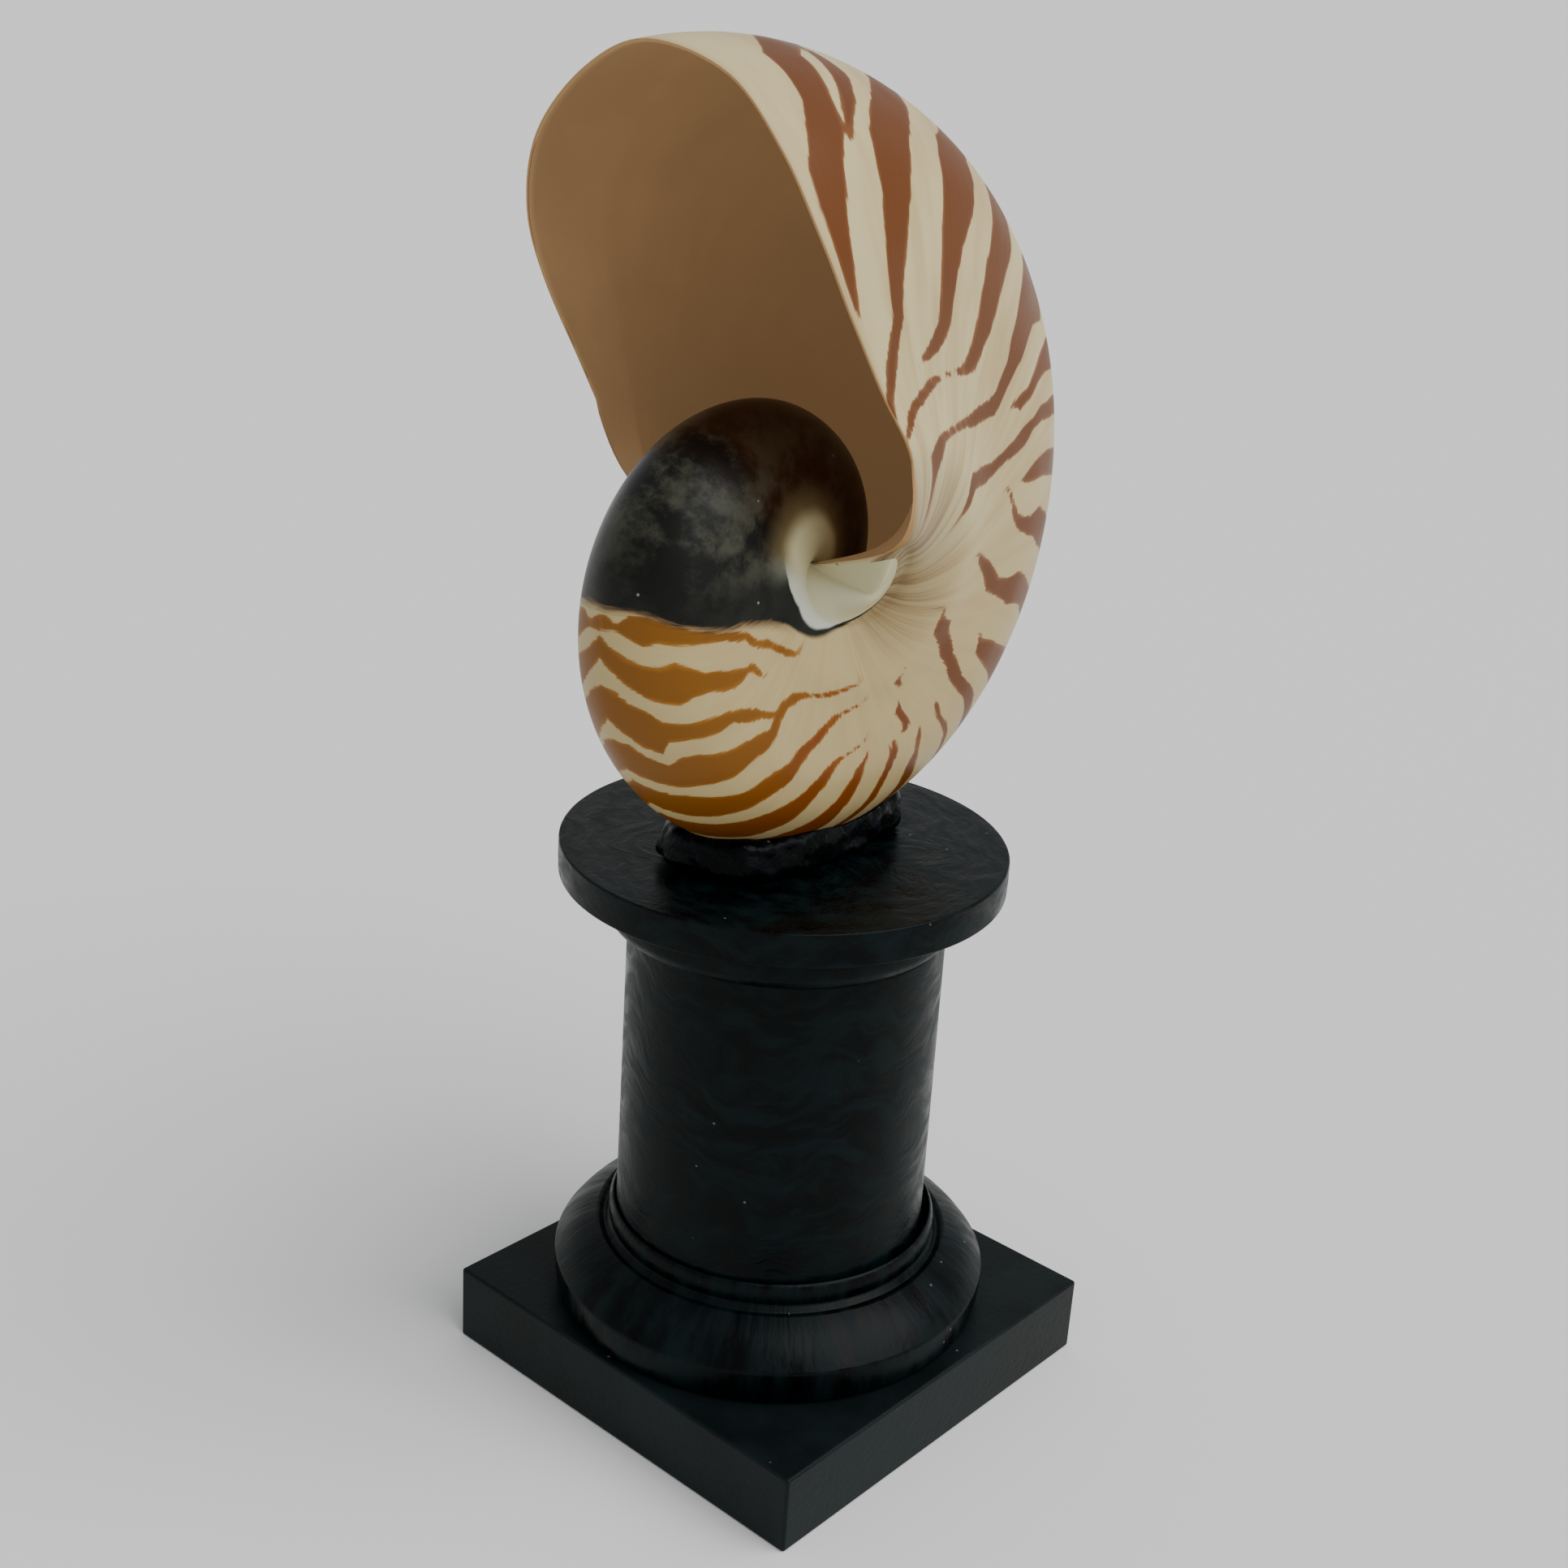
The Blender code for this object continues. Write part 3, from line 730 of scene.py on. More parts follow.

# %% [markdown]
# ## Stripes
# The animal's pigment is laid at the lip in bands that start at the keel and taper towards the
# umbilicus, bending with the growth lines. No two are alike, so each is a few points of (girth,
# turn where it starts, turn where it ends), read on the photograph laid out flat over the
# right flank. Most of the keel is out of sight there, so its points are partly guessed.
# The first stripe grew last, next to the lip, and the last ends at the black patch.
# The lip's line was set a little differently after that reading, and the stripes move with it.

# %% Draw the stripes
STRIPES = (
    ((0, 14, 22), (.1, 8, 14), (.2, 7, 12.2), (.25, 4.7, 11.5), (.3, 2, 9), (.35, 1.5, 7.2),
     (.4, 1.4, 5.6), (.45, 1, 4.2), (.54, .6, 1.2)),
    ((.08, 16.5, 18.5), (.14, 15.5, 19), (.2, 13.5, 16.5), (.26, 11, 12.5)),
    ((0, 30, 39), (.12, 24, 30), (.2, 18.8, 27), (.25, 16, 24.5), (.3, 15, 22.8), (.35, 14.6, 21.5),
     (.4, 13.4, 19.6), (.45, 12.2, 17.8), (.5, 11.4, 15.7), (.55, 10, 13.8), (.6, 4.5, 9.2),
     (.65, -.5, 4.2), (.69, -4, -.5)),
    ((0, 42, 52), (.17, 35, 42), (.2, 32.7, 40.8), (.25, 30.8, 40.3), (.3, 30.2, 39.4),
     (.35, 29.6, 37.8), (.4, 28.6, 35.4), (.45, 28, 33.9), (.5, 27.7, 32.9), (.55, 26.3, 31.3),
     (.59, 21.4, 27.7), (.62, 16.5, 21), (.635, 15, 15.5)),
    ((0, 54, 64), (.2, 46, 53), (.25, 45.4, 52.3), (.3, 45, 52.4), (.35, 44.4, 51.6),
     (.4, 43.3, 50.4), (.45, 42.6, 49.8), (.5, 42.6, 49.3), (.55, 41, 46.8), (.58, 39, 45),
     (.6, 37, 42.6), (.62, 32, 37.5), (.64, 25.5, 29), (.65, 19.5, 25.5), (.67, 14.5, 21),
     (.7, 6.5, 14.5), (.72, 3.3, 8.8), (.75, -.5, 4.4), (.77, -3, -1)),
    ((0, 67, 79), (.25, 57.5, 67.5), (.3, 57.4, 68), (.35, 57.4, 65.4), (.4, 57.8, 65),
     (.45, 58, 65), (.5, 59.2, 64), (.55, 58, 63), (.57, 57.6, 62.4), (.6, 54.6, 61.2),
     (.65, 46.8, 53.4), (.68, 42, 49), (.7, 37.6, 43.4), (.73, 31.5, 37.5), (.75, 24, 31.5),
     (.77, 19, 26.5), (.8, 13, 24), (.83, 17, 21)),
    ((0, 80, 86), (.3, 71.6, 78), (.35, 71.2, 75.8), (.4, 71.6, 75), (.45, 71.6, 74.8),
     (.5, 69.5, 73.4), (.53, 68.3, 69.5)),
    ((0, 92, 99), (.3, 82.6, 86.4), (.35, 81.5, 85.4), (.4, 79.7, 83.6), (.45, 79.4, 82.4),
     (.5, 78, 83), (.55, 76.6, 81.2), (.6, 73.4, 77.6), (.65, 69.5, 74.6), (.7, 63, 71.6),
     (.73, 60, 68), (.76, 55, 65), (.79, 60, 67.5), (.81, 63, 66)),
    ((0, 104, 112), (.3, 92.7, 98.3), (.35, 91.5, 97.3), (.4, 90.4, 95.8), (.45, 90, 94.8),
     (.49, 90.4, 93.5), (.52, 90.5, 91)),
    ((0, 118, 127), (.3, 105.8, 113), (.35, 104.2, 112), (.4, 102.3, 109.6), (.45, 103, 108),
     (.5, 100.8, 105), (.52, 99.4, 103.5), (.55, 93.5, 98.8), (.57, 88.5, 92.5), (.595, 85, 86)),
    ((0, 132, 141), (.3, 120.4, 127), (.35, 119.6, 125.4), (.4, 117.7, 125), (.45, 116.5, 125.4),
     (.5, 117.3, 123.5), (.55, 115.8, 121.5), (.6, 109.6, 118), (.65, 103.5, 109), (.68, 99.6, 105),
     (.71, 97.5, 98.5)),
    ((0, 145, 154), (.3, 134, 142.5), (.4, 135, 142), (.45, 134.6, 141.5), (.5, 135, 140),
     (.53, 133.5, 134.5)),
    ((0, 159, 166), (.3, 149.6, 154), (.35, 148, 152.6), (.4, 147.7, 152), (.45, 147.7, 152),
     (.5, 147, 151.5), (.55, 144.2, 150.4), (.6, 141, 146.5), (.65, 135, 143.5), (.7, 130.4, 138.8),
     (.72, 126, 138), (.75, 125, 135.5), (.77, 123.5, 135), (.79, 118, 128), (.8, 117, 119)),
    ((0, 169, 174), (.3, 160, 162.4), (.35, 159, 161), (.4, 159.2, 161.5), (.45, 160, 162),
     (.5, 158.5, 161), (.52, 158.6, 159.4)),
    ((.715, 162.5, 166), (.73, 160.5, 168.5), (.745, 157, 160), (.75, 156.8, 157.4)),
    ((0, 182, 188), (.25, 172.5, 178), (.3, 171.3, 176.5), (.35, 171, 175.6), (.4, 170, 172.4),
     (.45, 168.5, 171), (.49, 167.3, 168.2)),
    ((0, 195, 201), (.3, 184, 188), (.35, 183, 186.5), (.4, 181, 184.6), (.45, 178.2, 182.4),
     (.5, 177.6, 180.8), (.505, 174, 180.8), (.52, 170.6, 174.4), (.55, 170, 173.5), (.6, 170, 174),
     (.62, 168.8, 171.6), (.64, 168.3, 169)),
    ((0, 207, 216), (.2, 198, 208), (.25, 196.3, 205), (.3, 195.5, 202.4), (.35, 194, 200),
     (.4, 193, 198), (.45, 192, 196), (.47, 191.3, 194), (.5, 190, 191)),
    ((0, 222, 232), (.15, 214.5, 225), (.2, 213, 223), (.25, 211, 221), (.3, 210, 218.4),
     (.35, 209, 215.5), (.4, 207, 213), (.45, 205, 210), (.48, 203.5, 207.5), (.5, 200.5, 205),
     (.52, 196, 199.5), (.54, 191.5, 195), (.555, 189.5, 190.5)),
    ((0, 236, 245), (.1, 231, 240.5), (.15, 229, 239), (.2, 227.5, 236.6), (.25, 226, 234),
     (.3, 225, 232), (.35, 223, 231), (.4, 220.7, 229), (.45, 220, 225.5), (.5, 218, 224),
     (.55, 213, 219), (.6, 208, 213.3), (.65, 200, 206), (.67, 193, 199.5), (.69, 187, 193),
     (.705, 183.5, 185)),
    ((0, 248, 257), (.05, 246, 256.5), (.1, 243.5, 252.5), (.15, 242, 250), (.2, 241, 251.5),
     (.25, 239.5, 251), (.3, 238.5, 248.8), (.4, 238, 246), (.45, 236, 244), (.5, 235.5, 240.5),
     (.55, 236.3, 241.3), (.6, 234, 239.8), (.65, 228, 235.3), (.68, 222, 229.3), (.7, 214, 222.6),
     (.72, 207, 215.3), (.74, 201.5, 210.5), (.76, 193, 201.5), (.775, 187, 196), (.785, 185, 188)),
    ((0, 262, 271), (.05, 259, 270), (.1, 255, 267), (.15, 253, 265), (.18, 256, 262.5),
     (.25, 255.5, 261), (.35, 254, 260), (.4, 254, 259), (.45, 249.5, 256.5), (.5, 245.5, 251.7),
     (.53, 241, 246.5), (.56, 238.5, 241)),
    ((0, 277, 283), (.05, 274, 280.5), (.1, 271, 278.5), (.15, 268.5, 277.6), (.2, 267, 277.2),
     (.25, 266, 278.5), (.3, 267.5, 277), (.35, 267.5, 274.7), (.4, 266, 273.6), (.45, 264, 271.6),
     (.5, 263.5, 269.6), (.545, 264.5, 267)),
    ((.545, 264, 267.8), (.555, 261.5, 268), (.575, 257.5, 265), (.59, 255.5, 260),
     (.6, 255.3, 256)),
    ((.02, 284, 288), (.06, 284.5, 286.5), (.1, 283, 289), (.15, 281.5, 289.5), (.2, 283, 289),
     (.3, 283, 288), (.4, 283, 286.6), (.45, 282, 285.6), (.5, 279.5, 284.2), (.55, 277.6, 281.8),
     (.57, 273, 280.2), (.6, 269.5, 274.6), (.62, 267.5, 272.2), (.65, 263.5, 269.7),
     (.67, 260, 267), (.7, 254, 261.2), (.72, 250, 258.2), (.75, 245, 252.3), (.77, 242.5, 246.5)),
)
# Girth, and how many degrees the lip's line moved there after the stripes were read
LIP_MOVED = ((0, 0), (.133, -.8), (.267, .2), (.4, .1), (.533, .3), (.667, 2.5), (.8, .6), (.867, -4.4))
FLANK_SHIFT = 4.0
FLANK_SHIFT_GIRTH = 0.3
STRIPE_END_TAPER = 60.0
GIRTH_LENGTH = 105 * MM


def local_size(turn):
    """How large the shell is at a turn, where 1 is at the lip."""
    return WHORL_GROWTH ** (-turn / 360)


def degree_length(turn, girth):
    """How long one degree of turn is on the surface, in mm."""
    reach = np.interp(abs(girth), [key[0] for key in HALF_SECTION], [key[1] for key in HALF_SECTION])
    return reach * local_size(turn) * SHELL_REACH * math.radians(1) / MM


def stripe_depth(stripe, turn, girth):
    """How deep inside a stripe each place is, in mm; below 0 outside it."""
    keys, starts, ends = np.array(stripe, float).T
    moved = np.interp(keys, *np.array(LIP_MOVED).T)
    starts, ends = starts + moved, ends + moved
    start = np.interp(girth, keys, starts)
    end = np.interp(girth, keys, ends)
    slope = np.interp(girth, keys, np.gradient((starts + ends) / 2, keys))
    unit = degree_length(turn, girth)
    steepness = np.hypot(1, slope * unit / (GIRTH_LENGTH / MM * local_size(turn)))
    depth = np.minimum(turn - start, end - turn)
    depth = np.minimum(depth, (keys[-1] - girth) * STRIPE_END_TAPER + (ends[-1] - starts[-1]) / 2)
    if keys[0] > 0:
        depth = np.minimum(depth, (girth - keys[0]) * STRIPE_END_TAPER + (ends[0] - starts[0]) / 2)
    return depth * unit / steepness


def all_stripes(turn, girth):
    """The left flank has the same stripes a little out of step, as on a real shell."""
    shift = FLANK_SHIFT * np.clip(-girth / FLANK_SHIFT_GIRTH, 0, 1)
    depths = [stripe_depth(stripe, turn + shift, abs(girth)) for stripe in STRIPES]
    return np.max(depths, axis=0)


print("stripes:", len(STRIPES), "points:", sum(len(stripe) for stripe in STRIPES))

# %% [markdown]
# ## Black film and callus
# Where the animal's hood rubbed the inner whorl, it left a black film that starts across the
# stripes and runs back into the mouth. Beside the lip, round each umbilicus, it thickened the shell
# with smooth pale callus. Each is one edge line of a few points, set against the
# photograph, and each vertex keeps how far inside that line it lies.

# %% Draw the film and the callus, and store all marks on the vertices
# Girth, then the turn from which the film covers the shell
FILM_EDGE = (
    (0, 290), (.1, 289.9), (.2, 289.7), (.3, 289.2), (.4, 287.6), (.5, 286.2), (.55, 285.6), (.6, 282.9),
    (.65, 280.2), (.7, 276), (.73, 272.5), (.75, 270), (.77, 267), (.79, 262), (.805, 256), (.82, 246),
    (.834, 233), (.854, 215), (.873, 200), (.892, 180), (.907, 165), (.917, 150), (.927, 130),
    (.932, 97),
)
# Turn, then the girth from which callus covers the shell
CALLUS_EDGE = (
    (0, .945), (60, .945), (97, .945), (130, .94), (150, .93), (165, .92), (180, .905), (200, .885),
    (215, .865), (235, .845), (245, .838), (258, .832), (270, .83), (285, .815), (300, .79), (315, .745),
    (330, .70), (345, .665), (360, .645), (375, .645), (395, .655), (415, .675), (430, .70), (450, .75),
    (470, .84), (486, .93),
)


def film_depth(turn, girth):
    keys, starts = np.array(FILM_EDGE).T
    unit = degree_length(turn, girth)
    slope = np.interp(abs(girth), keys, np.gradient(starts, keys))
    steepness = np.hypot(1, slope * unit / (GIRTH_LENGTH / MM * local_size(turn)))
    return (turn - np.interp(abs(girth), keys, starts)) * unit / steepness


def callus_depth(turn, girth):
    keys, starts = np.array(CALLUS_EDGE).T
    return (abs(girth) - np.interp(turn, keys, starts)) * GIRTH_LENGTH / MM * local_size(turn)


def read_marks(piece, name):
    values = np.empty(len(piece.data.vertices), np.float32)
    piece.data.attributes[name].data.foreach_get("value", values)
    return values


def keep_marks(piece, name, values):
    layer = piece.data.attributes.new(name, "FLOAT", "POINT")
    layer.data.foreach_set("value", values.astype(np.float32))
    print(name, "from", round(float(values.min()), 1), "to", round(float(values.max()), 1), "mm")


# %% [markdown]
# ## Finishes of the shell
# The ground is warm cream. Pigment soaks in along the growth lines, so the stripes' edges break up
# into fine steps that follow them. The lining has a painted glow, standing in for daylight through
# the thin wall. The growth lines serve the outside and the lining both, so they are one group.

# %% Build the growth lines and the shell's finishes
CREAM = linear(200, 184, 138)
CREAM_DEEP = linear(186, 162, 116)
# Painted shade: a darker cream for the lower belly, which gets less light from below
SHADED_CREAM = linear(176, 154, 108)
RUSSET = linear(100, 54, 14)
RUSSET_EDGE = linear(132, 84, 46)
AMBER = linear(114, 56, 2)
AMBER_EDGE = linear(146, 84, 18)
GOLD = linear(120, 74, 10)
GOLD_EDGE = linear(150, 98, 28)
FAN_TAN = linear(98, 68, 40)
FILM_BLACK = linear(5, 4, 2)
FILM_BROWN = linear(58, 28, 8)
FILM_GREY = linear(64, 64, 52)
CALLUS_OLIVE = linear(202, 194, 154)
CALLUS_BLUE = linear(190, 194, 182)
CALLUS_BROWN = linear(120, 104, 70)
LIP_TAN = linear(172, 130, 84)
LINING_TAN = linear(148, 114, 80)
LINING_DEEP = linear(132, 102, 70)
LINING_PALE = linear(160, 126, 90)
LINING_SHADE = linear(112, 88, 56)
LINING_PAINTED_GLOW = linear(136, 108, 76)
LINING_PAINTED_GLOW_STRENGTH = 0.37
SHELL_SHINE = 0.2
# How fine the growth lines' noise is, for a degree of turn and for the girth from keel to rim
FINE_LINES, BROAD_LINES = (1.1, 9.0), (0.16, 3.0)
CLOUDS, FILM_CLOUDS = 38.0, 105.0
# Turns, in degrees behind the lip, between which a finish changes
SHADED_CREAM_TURNS = (50.0, 140.0)
AMBER_TURNS, GOLD_TURNS = (160.0, 200.0), (205.0, 255.0)
FAN_TURNS, FAN_GIRTHS = (110.0, 215.0), (0.76, 0.9)
FILM_FRONT_TURNS, FILM_MIST_TURNS, FILM_BROWN_TURNS = (250.0, 285.0), (292.0, 318.0), (345.0, 372.0)
CALLUS_TIP_TURNS, DOME_TURNS = (185.0, 215.0), (292.0, 325.0)
LIP_TURNS, LIP_CALLUS_GIRTHS = (-1.6, -0.4), (0.9, 0.94)
LINING_SHADE_TURNS, LINING_RIM_TURNS = (14.0, 40.0), (0.0, 1.2)


def shell_place(tree, lines):
    """Turn and girth as a place for a noise that is stretched along the growth lines."""
    along = calculate(tree, "MULTIPLY", attribute(tree, "turn"), lines[0])
    across = calculate(tree, "MULTIPLY", attribute(tree, "girth"), lines[1])
    return add_node(tree, "ShaderNodeCombineXYZ", {0: along, 1: across}).outputs[0]


def build_growth_lines():
    group, wanted, given = new_group("growth_lines", (), ("Fine", "Broad", "Cloud"))
    fine = noise_on(group, shell_place(group, FINE_LINES), 1.0, detail=3.0, roughness=0.6)
    broad = noise_on(group, shell_place(group, BROAD_LINES), 1.0)
    place = add_node(group, "ShaderNodeTexCoord").outputs["Object"]
    group.links.new(fine, given.inputs["Fine"])
    group.links.new(broad, given.inputs["Broad"])
    group.links.new(noise_on(group, place, CLOUDS, detail=3.0), given.inputs["Cloud"])
    return group


def stripe_colour(tree, stripe, turn, lines):
    """Russet near the lip, then amber, then gold, and paler towards each stripe's edge."""
    further_back = smooth_range(tree, turn, *AMBER_TURNS)
    oldest = smooth_range(tree, turn, *GOLD_TURNS)
    edge = blend(tree, oldest, blend(tree, further_back, RUSSET_EDGE, AMBER_EDGE), GOLD_EDGE)
    core = blend(tree, oldest, blend(tree, further_back, RUSSET, AMBER), GOLD)
    inside = calculate(tree, "ADD", stripe, calculate(tree, "MULTIPLY", lines["Broad"], 1.6))
    return blend(tree, smooth_range(tree, inside, 0.3, 1.8), edge, core)


def film_tone(tree, lines, turn):
    """Black below, misty grey-green further up, and brown deep in the mouth."""
    place = add_node(tree, "ShaderNodeTexCoord").outputs["Object"]
    mottle = noise_on(tree, place, FILM_CLOUDS, detail=6.0, roughness=0.68)
    upper = smooth_range(tree, turn, *FILM_MIST_TURNS, 0.15, 1.0)
    misty = calculate(tree, "MULTIPLY", smooth_range(tree, mottle, 0.41, 0.63), upper)
    wandering = calculate(tree, "ADD", turn, calculate(tree, "MULTIPLY", lines["Broad"], 30.0))
    deep = smooth_range(tree, wandering, *FILM_BROWN_TURNS, 0.0, 0.6)
    return blend(tree, deep, blend(tree, misty, FILM_BLACK, FILM_GREY), FILM_BROWN)


def film_over(tree, ground, lines, turn):
    """Lays the black film over the striped ground, with a brown fringe where it starts."""
    cloudy, ragged = uneven_by(tree, lines["Cloud"], 3.0), uneven_by(tree, lines["Fine"], 1.8)
    push = calculate(tree, "ADD", cloudy, ragged)
    on_front = smooth_range(tree, turn, *FILM_FRONT_TURNS)
    film = calculate(tree, "ADD", attribute(tree, "film"), calculate(tree, "MULTIPLY", push, on_front))
    fringe = calculate(tree, "MULTIPLY", smooth_range(tree, film, -1.7, 0.1, 0.0, 0.9), on_front)
    colour = blend(tree, fringe, ground, FILM_BROWN)
    return blend(tree, smooth_range(tree, film, -0.15, 0.35), colour, film_tone(tree, lines, turn))


def callus_over(tree, ground, lines, turn):
    """Lays the callus over all: sharp at its old end, and fading up the dome inside the mouth."""
    callus = attribute(tree, "callus")
    on_dome = smooth_range(tree, turn, *DOME_TURNS)
    cloudy = uneven_by(tree, lines["Cloud"], 6.0)
    faded = calculate(tree, "ADD", callus, calculate(tree, "MULTIPLY", cloudy, on_dome))
    sharp = calculate(tree, "MULTIPLY", smooth_range(tree, callus, -0.1, 0.25),
                      calculate(tree, "SUBTRACT", 1.0, on_dome))
    soft = calculate(tree, "MULTIPLY", smooth_range(tree, faded, -6.0, 3.0), on_dome)
    cover = calculate(tree, "ADD", soft, sharp)
    at_tip = calculate(tree, "MULTIPLY", smooth_range(tree, turn, *CALLUS_TIP_TURNS),
                       smooth_range(tree, callus, 0.0, 3.0, 1.0, 0.2))
    tone = blend(tree, at_tip, CALLUS_OLIVE, CALLUS_BLUE)
    upper = blend(tree, smooth_range(tree, faded, -1.0, 3.5), CALLUS_BROWN, CALLUS_OLIVE)
    return blend(tree, cover, ground, blend(tree, on_dome, tone, upper))


def cream_ground(tree, lines, turn, aside):
    """Cream, darkened further back along the coil by painted shade on the lower belly, with a brown fan
    of lines round the umbilicus.
    """
    ground = blend(tree, smooth_range(tree, lines["Broad"], 0.35, 0.7), CREAM, CREAM_DEEP)
    # Painted shade: the cream darkens further back along the coil, on the lower belly
    further_back = smooth_range(tree, turn, *SHADED_CREAM_TURNS, 0.0, 0.8)
    ground = blend(tree, further_back, ground, SHADED_CREAM)
    young = smooth_range(tree, turn, *FAN_TURNS, 1.0, 0.0)
    fan = calculate(tree, "MULTIPLY", smooth_range(tree, aside, *FAN_GIRTHS), young)
    fan = calculate(tree, "MULTIPLY", fan, smooth_range(tree, lines["Broad"], 0.3, 0.7, 0.6, 1.0))
    fan = calculate(tree, "MULTIPLY", fan, smooth_range(tree, lines["Fine"], 0.35, 0.65, 0.6, 1.0))
    return blend(tree, fan, ground, FAN_TAN)


def bare_lip(tree, colour, turn, aside):
    """The lip's edge is unpainted tan, and callus where it reaches the umbilicus."""
    on_lip = smooth_range(tree, turn, *LIP_TURNS, 1.0, 0.0)
    bare = smooth_range(tree, aside, *LIP_CALLUS_GIRTHS, 1.0, 0.0)
    return blend(tree, on_lip, colour, blend(tree, bare, CALLUS_OLIVE, LIP_TAN))


def shell_outside():
    finish, tree, shader = new_finish("shell_outside")
    lines = use_group(tree, growth_lines)
    turn, stripe, film = (attribute(tree, name) for name in ("turn", "stripe", "film"))
    aside = calculate(tree, "ABSOLUTE", attribute(tree, "girth"))
    ground = cream_ground(tree, lines, turn, aside)
    ragged = calculate(tree, "ADD", stripe, uneven_by(tree, lines["Fine"], 1.3))
    pigment = smooth_range(tree, ragged, -0.12, 0.3)
    colour = blend(tree, pigment, ground, stripe_colour(tree, stripe, turn, lines))
    colour = film_over(tree, colour, lines, turn)
    colour = callus_over(tree, colour, lines, turn)
    colour = bare_lip(tree, colour, turn, aside)
    specks = use_group(tree, dust)["Specks"]
    specks = calculate(tree, "MULTIPLY", specks, smooth_range(tree, film, 0.0, 3.0))
    colour = blend(tree, specks, colour, DUST_COLOUR)
    tree.links.new(colour, shader.inputs["Base Color"])
    shader.inputs["Specular IOR Level"].default_value = SHELL_SHINE
    tree.links.new(smooth_range(tree, lines["Cloud"], 0.3, 0.7, 0.3, 0.46), shader.inputs["Roughness"])
    add_bump(tree, shader, lines["Fine"], 0.12, 0.3 * MM)
    return finish


def shell_lining():
    finish, tree, shader = new_finish("shell_lining")
    lines = use_group(tree, growth_lines)
    turn = attribute(tree, "turn")
    colour = blend(tree, smooth_range(tree, lines["Cloud"], 0.35, 0.65), LINING_TAN, LINING_DEEP)
    streaks = smooth_range(tree, lines["Broad"], 0.35, 0.65)
    colour = blend(tree, calculate(tree, "MULTIPLY", streaks, 0.35), colour, LINING_DEEP)
    # Painted shade: the lining darkens deeper into the chamber
    deep = smooth_range(tree, turn, *LINING_SHADE_TURNS, 0.0, 0.4)
    colour = blend(tree, deep, colour, LINING_SHADE)
    scratched = calculate(tree, "MULTIPLY", smooth_range(tree, lines["Fine"], 0.7, 0.74), 0.35)
    colour = blend(tree, scratched, colour, LINING_PALE)
    colour = blend(tree, smooth_range(tree, turn, *LINING_RIM_TURNS, 0.6, 0.0), colour, LINING_PALE)
    tree.links.new(colour, shader.inputs["Base Color"])
    shader.inputs["Roughness"].default_value = 0.34
    shader.inputs["Specular IOR Level"].default_value = SHELL_SHINE
    # Painted glow: the lining gives off light of its own, standing in for daylight through the thin wall
    shader.inputs["Emission Color"].default_value = LINING_PAINTED_GLOW
    shader.inputs["Emission Strength"].default_value = LINING_PAINTED_GLOW_STRENGTH
    add_bump(tree, shader, lines["Fine"], 0.06, 0.3 * MM)
    return finish


growth_lines = build_growth_lines()
shell = add_piece("nautilus", shell_shape, "shell", [shell_outside(), shell_lining()])
turns, girths = read_marks(shell, "turn"), read_marks(shell, "girth")
keep_marks(shell, "stripe", all_stripes(turns, girths))
keep_marks(shell, "film", film_depth(turns, girths))
keep_marks(shell, "callus", callus_depth(turns, girths))

# %% [markdown]
# ## Putty
# The shell stands in a collar of black modelling putty, pressed on in lumps by hand.
# A sphere is squared off into an oblong collar, pushed in and out by noise at two sizes, and kept
# above the cap and under the shell with a ray cast straight up from each vertex.

# %% Press the putty on
PUTTY_CENTRE = Vector((-2.0 * MM, -3.0 * MM, 0))
PUTTY_HALF_WIDTH = 13.4 * MM
PUTTY_HALF_LENGTH = 25.8 * MM
PUTTY_PLAN_POWER = 0.75
PUTTY_HEIGHT = 8.8 * MM
PUTTY_FLARE = 1.6 * MM
PUTTY_SQUARENESS = 0.4
PUTTY_LUMP, PUTTY_LUMP_SIZE = 1.3 * MM, 7 * MM
PUTTY_DENT, PUTTY_DENT_SIZE = 0.7 * MM, 2.6 * MM
PUTTY_CLEARANCE = 0.25 * MM
CAP_TOP = 113.4 * MM
PUTTY_DARK = linear(0, 1, 1)
PUTTY_GLINT_BLUE = linear(3, 7, 12)
PUTTY_SHINE = 0.07


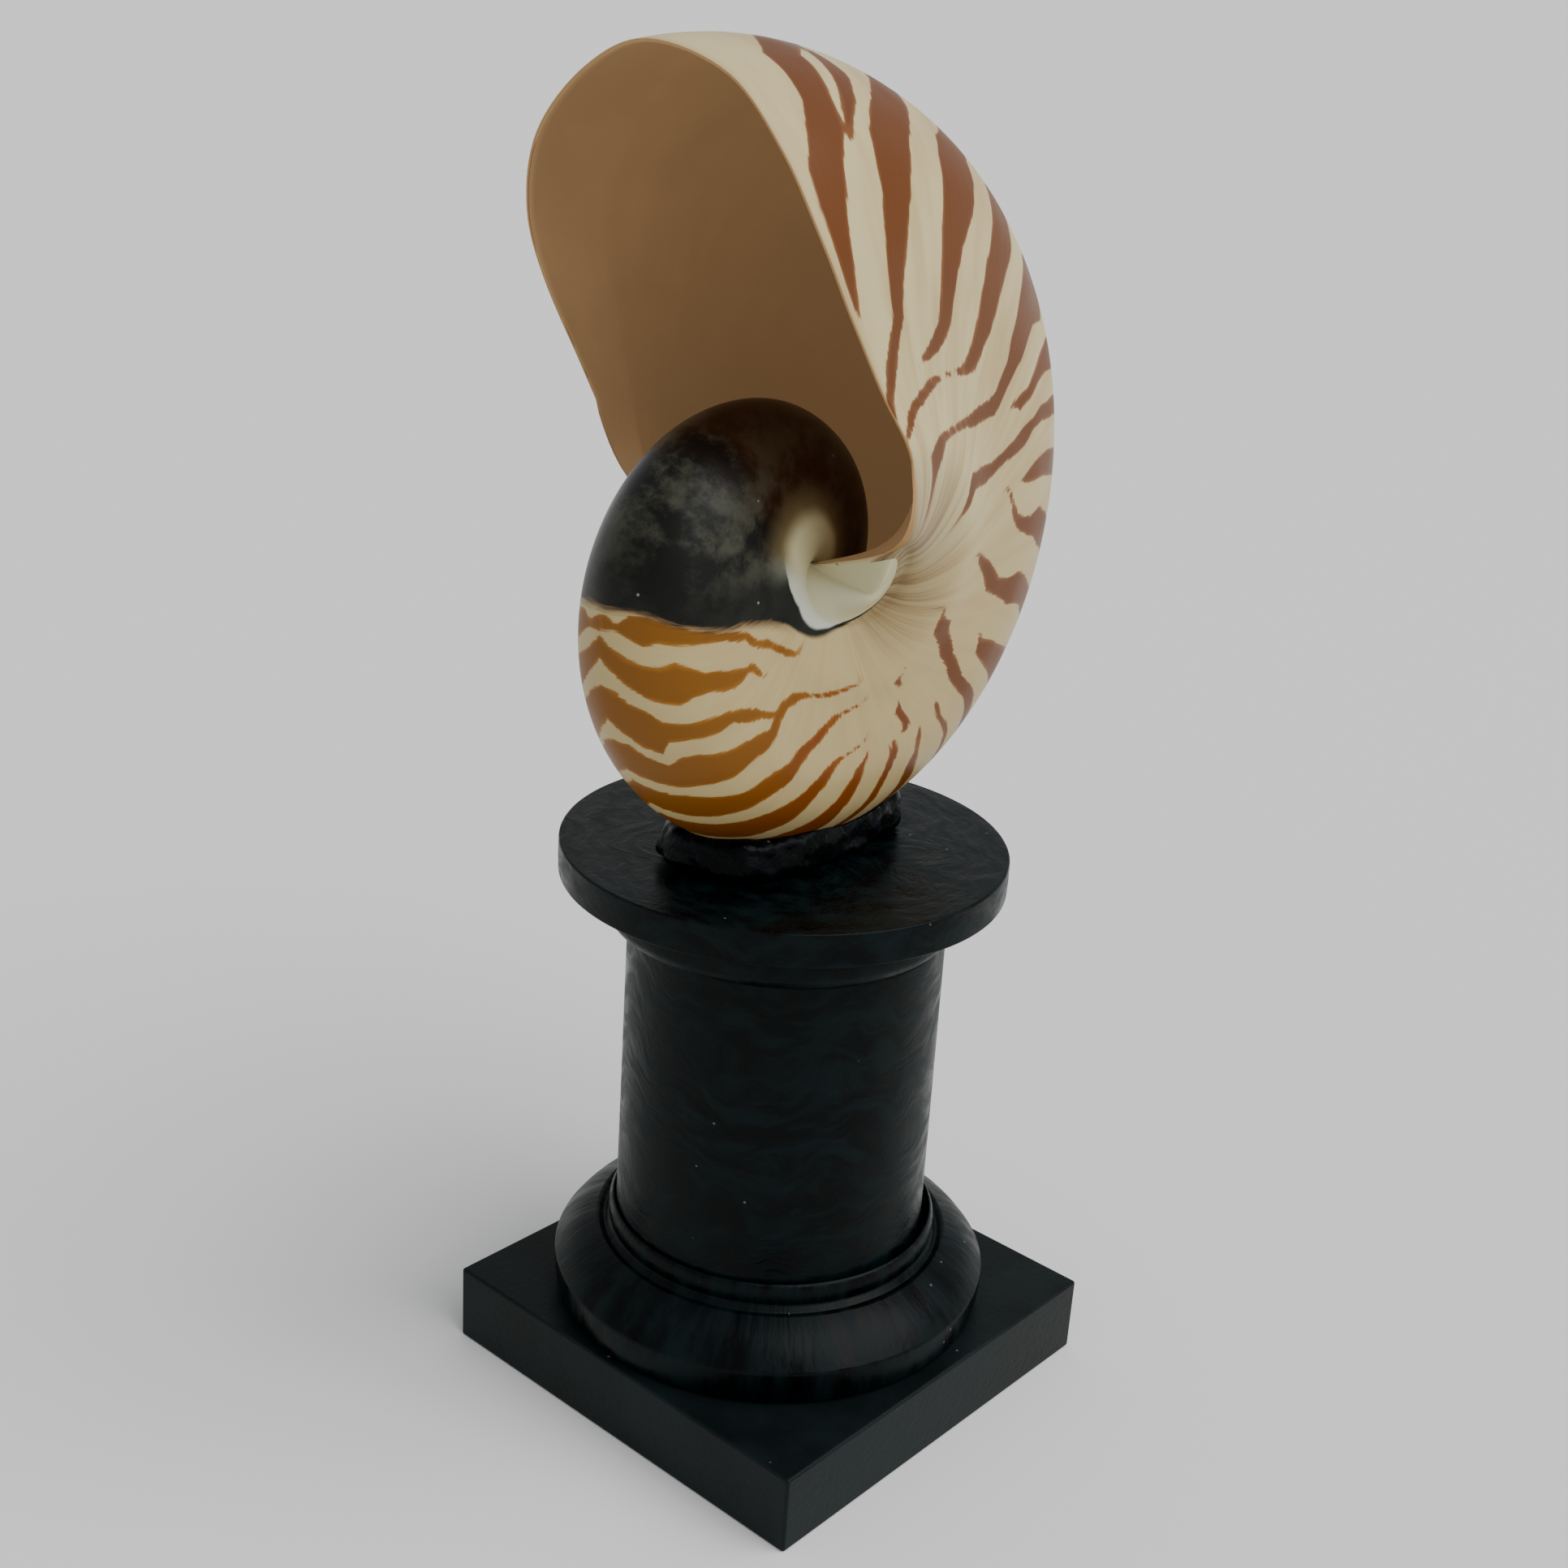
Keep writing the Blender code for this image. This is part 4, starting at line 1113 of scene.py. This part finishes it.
def putty_finish():
    finish, tree, shader = new_finish("black_putty")
    place = add_node(tree, "ShaderNodeTexCoord").outputs["Object"]
    lumps = noise_on(tree, place, 260.0, detail=3.0)
    specks = use_group(tree, dust)["Specks"]
    # The blue-black patches on the lumps are painted glints, standing in for the putty's bluish
    # highlights
    colour = blend(tree, smooth_range(tree, lumps, 0.4, 0.7), PUTTY_DARK, PUTTY_GLINT_BLUE)
    colour = blend(tree, calculate(tree, "MULTIPLY", specks, 0.5), colour, DUST_COLOUR)
    tree.links.new(colour, shader.inputs["Base Color"])
    shader.inputs["Specular IOR Level"].default_value = PUTTY_SHINE
    tree.links.new(smooth_range(tree, lumps, 0.3, 0.7, 0.24, 0.42), shader.inputs["Roughness"])
    add_bump(tree, shader, lumps, 0.6, 1.2 * MM)
    return finish


def drawn_out(share):
    """A sine or cosine drawn towards 1, which turns an oval into a rounded oblong."""
    return math.copysign(abs(share) ** PUTTY_PLAN_POWER, share)


def squared(ball_spot):
    """Where a vertex of the round ball lies on the collar."""
    aside = math.hypot(ball_spot.x, ball_spot.y)
    angle = math.atan2(ball_spot.y, ball_spot.x)
    out = aside**PUTTY_SQUARENESS
    height = 0.5 + 0.5 * math.copysign(abs(ball_spot.z) ** PUTTY_SQUARENESS, ball_spot.z)
    grow = PUTTY_FLARE * (1 - height)
    across = (PUTTY_HALF_WIDTH + grow) * out * drawn_out(math.cos(angle))
    along = (PUTTY_HALF_LENGTH + grow) * out * drawn_out(math.sin(angle))
    return PUTTY_CENTRE + Vector((across, along, CAP_TOP + PUTTY_HEIGHT * height))


def pressed(spot, outward, tree):
    lump = PUTTY_LUMP * noise.noise(spot / PUTTY_LUMP_SIZE)
    dent = PUTTY_DENT * noise.noise(spot / PUTTY_DENT_SIZE)
    spot = spot + outward * (lump + dent)
    hit = tree.ray_cast(Vector((spot.x, spot.y, CAP_TOP)), Vector((0, 0, 1)))[0]
    ceiling = hit.z - PUTTY_CLEARANCE if hit else spot.z
    return Vector((spot.x, spot.y, min(max(spot.z, CAP_TOP + 0.02 * MM), ceiling)))


def putty_shape():
    under_shell = bmesh.new()
    under_shell.from_mesh(shell.data)
    tree = BVHTree.FromBMesh(under_shell)
    under_shell.free()
    shape = bmesh.new()
    bmesh.ops.create_uvsphere(shape, u_segments=220, v_segments=70, radius=1)
    for vert in shape.verts:
        outward = vert.co.normalized()
        vert.co = pressed(squared(vert.co), outward, tree)
    return shape


add_piece("putty_collar", putty_shape(), "putty", [putty_finish()])
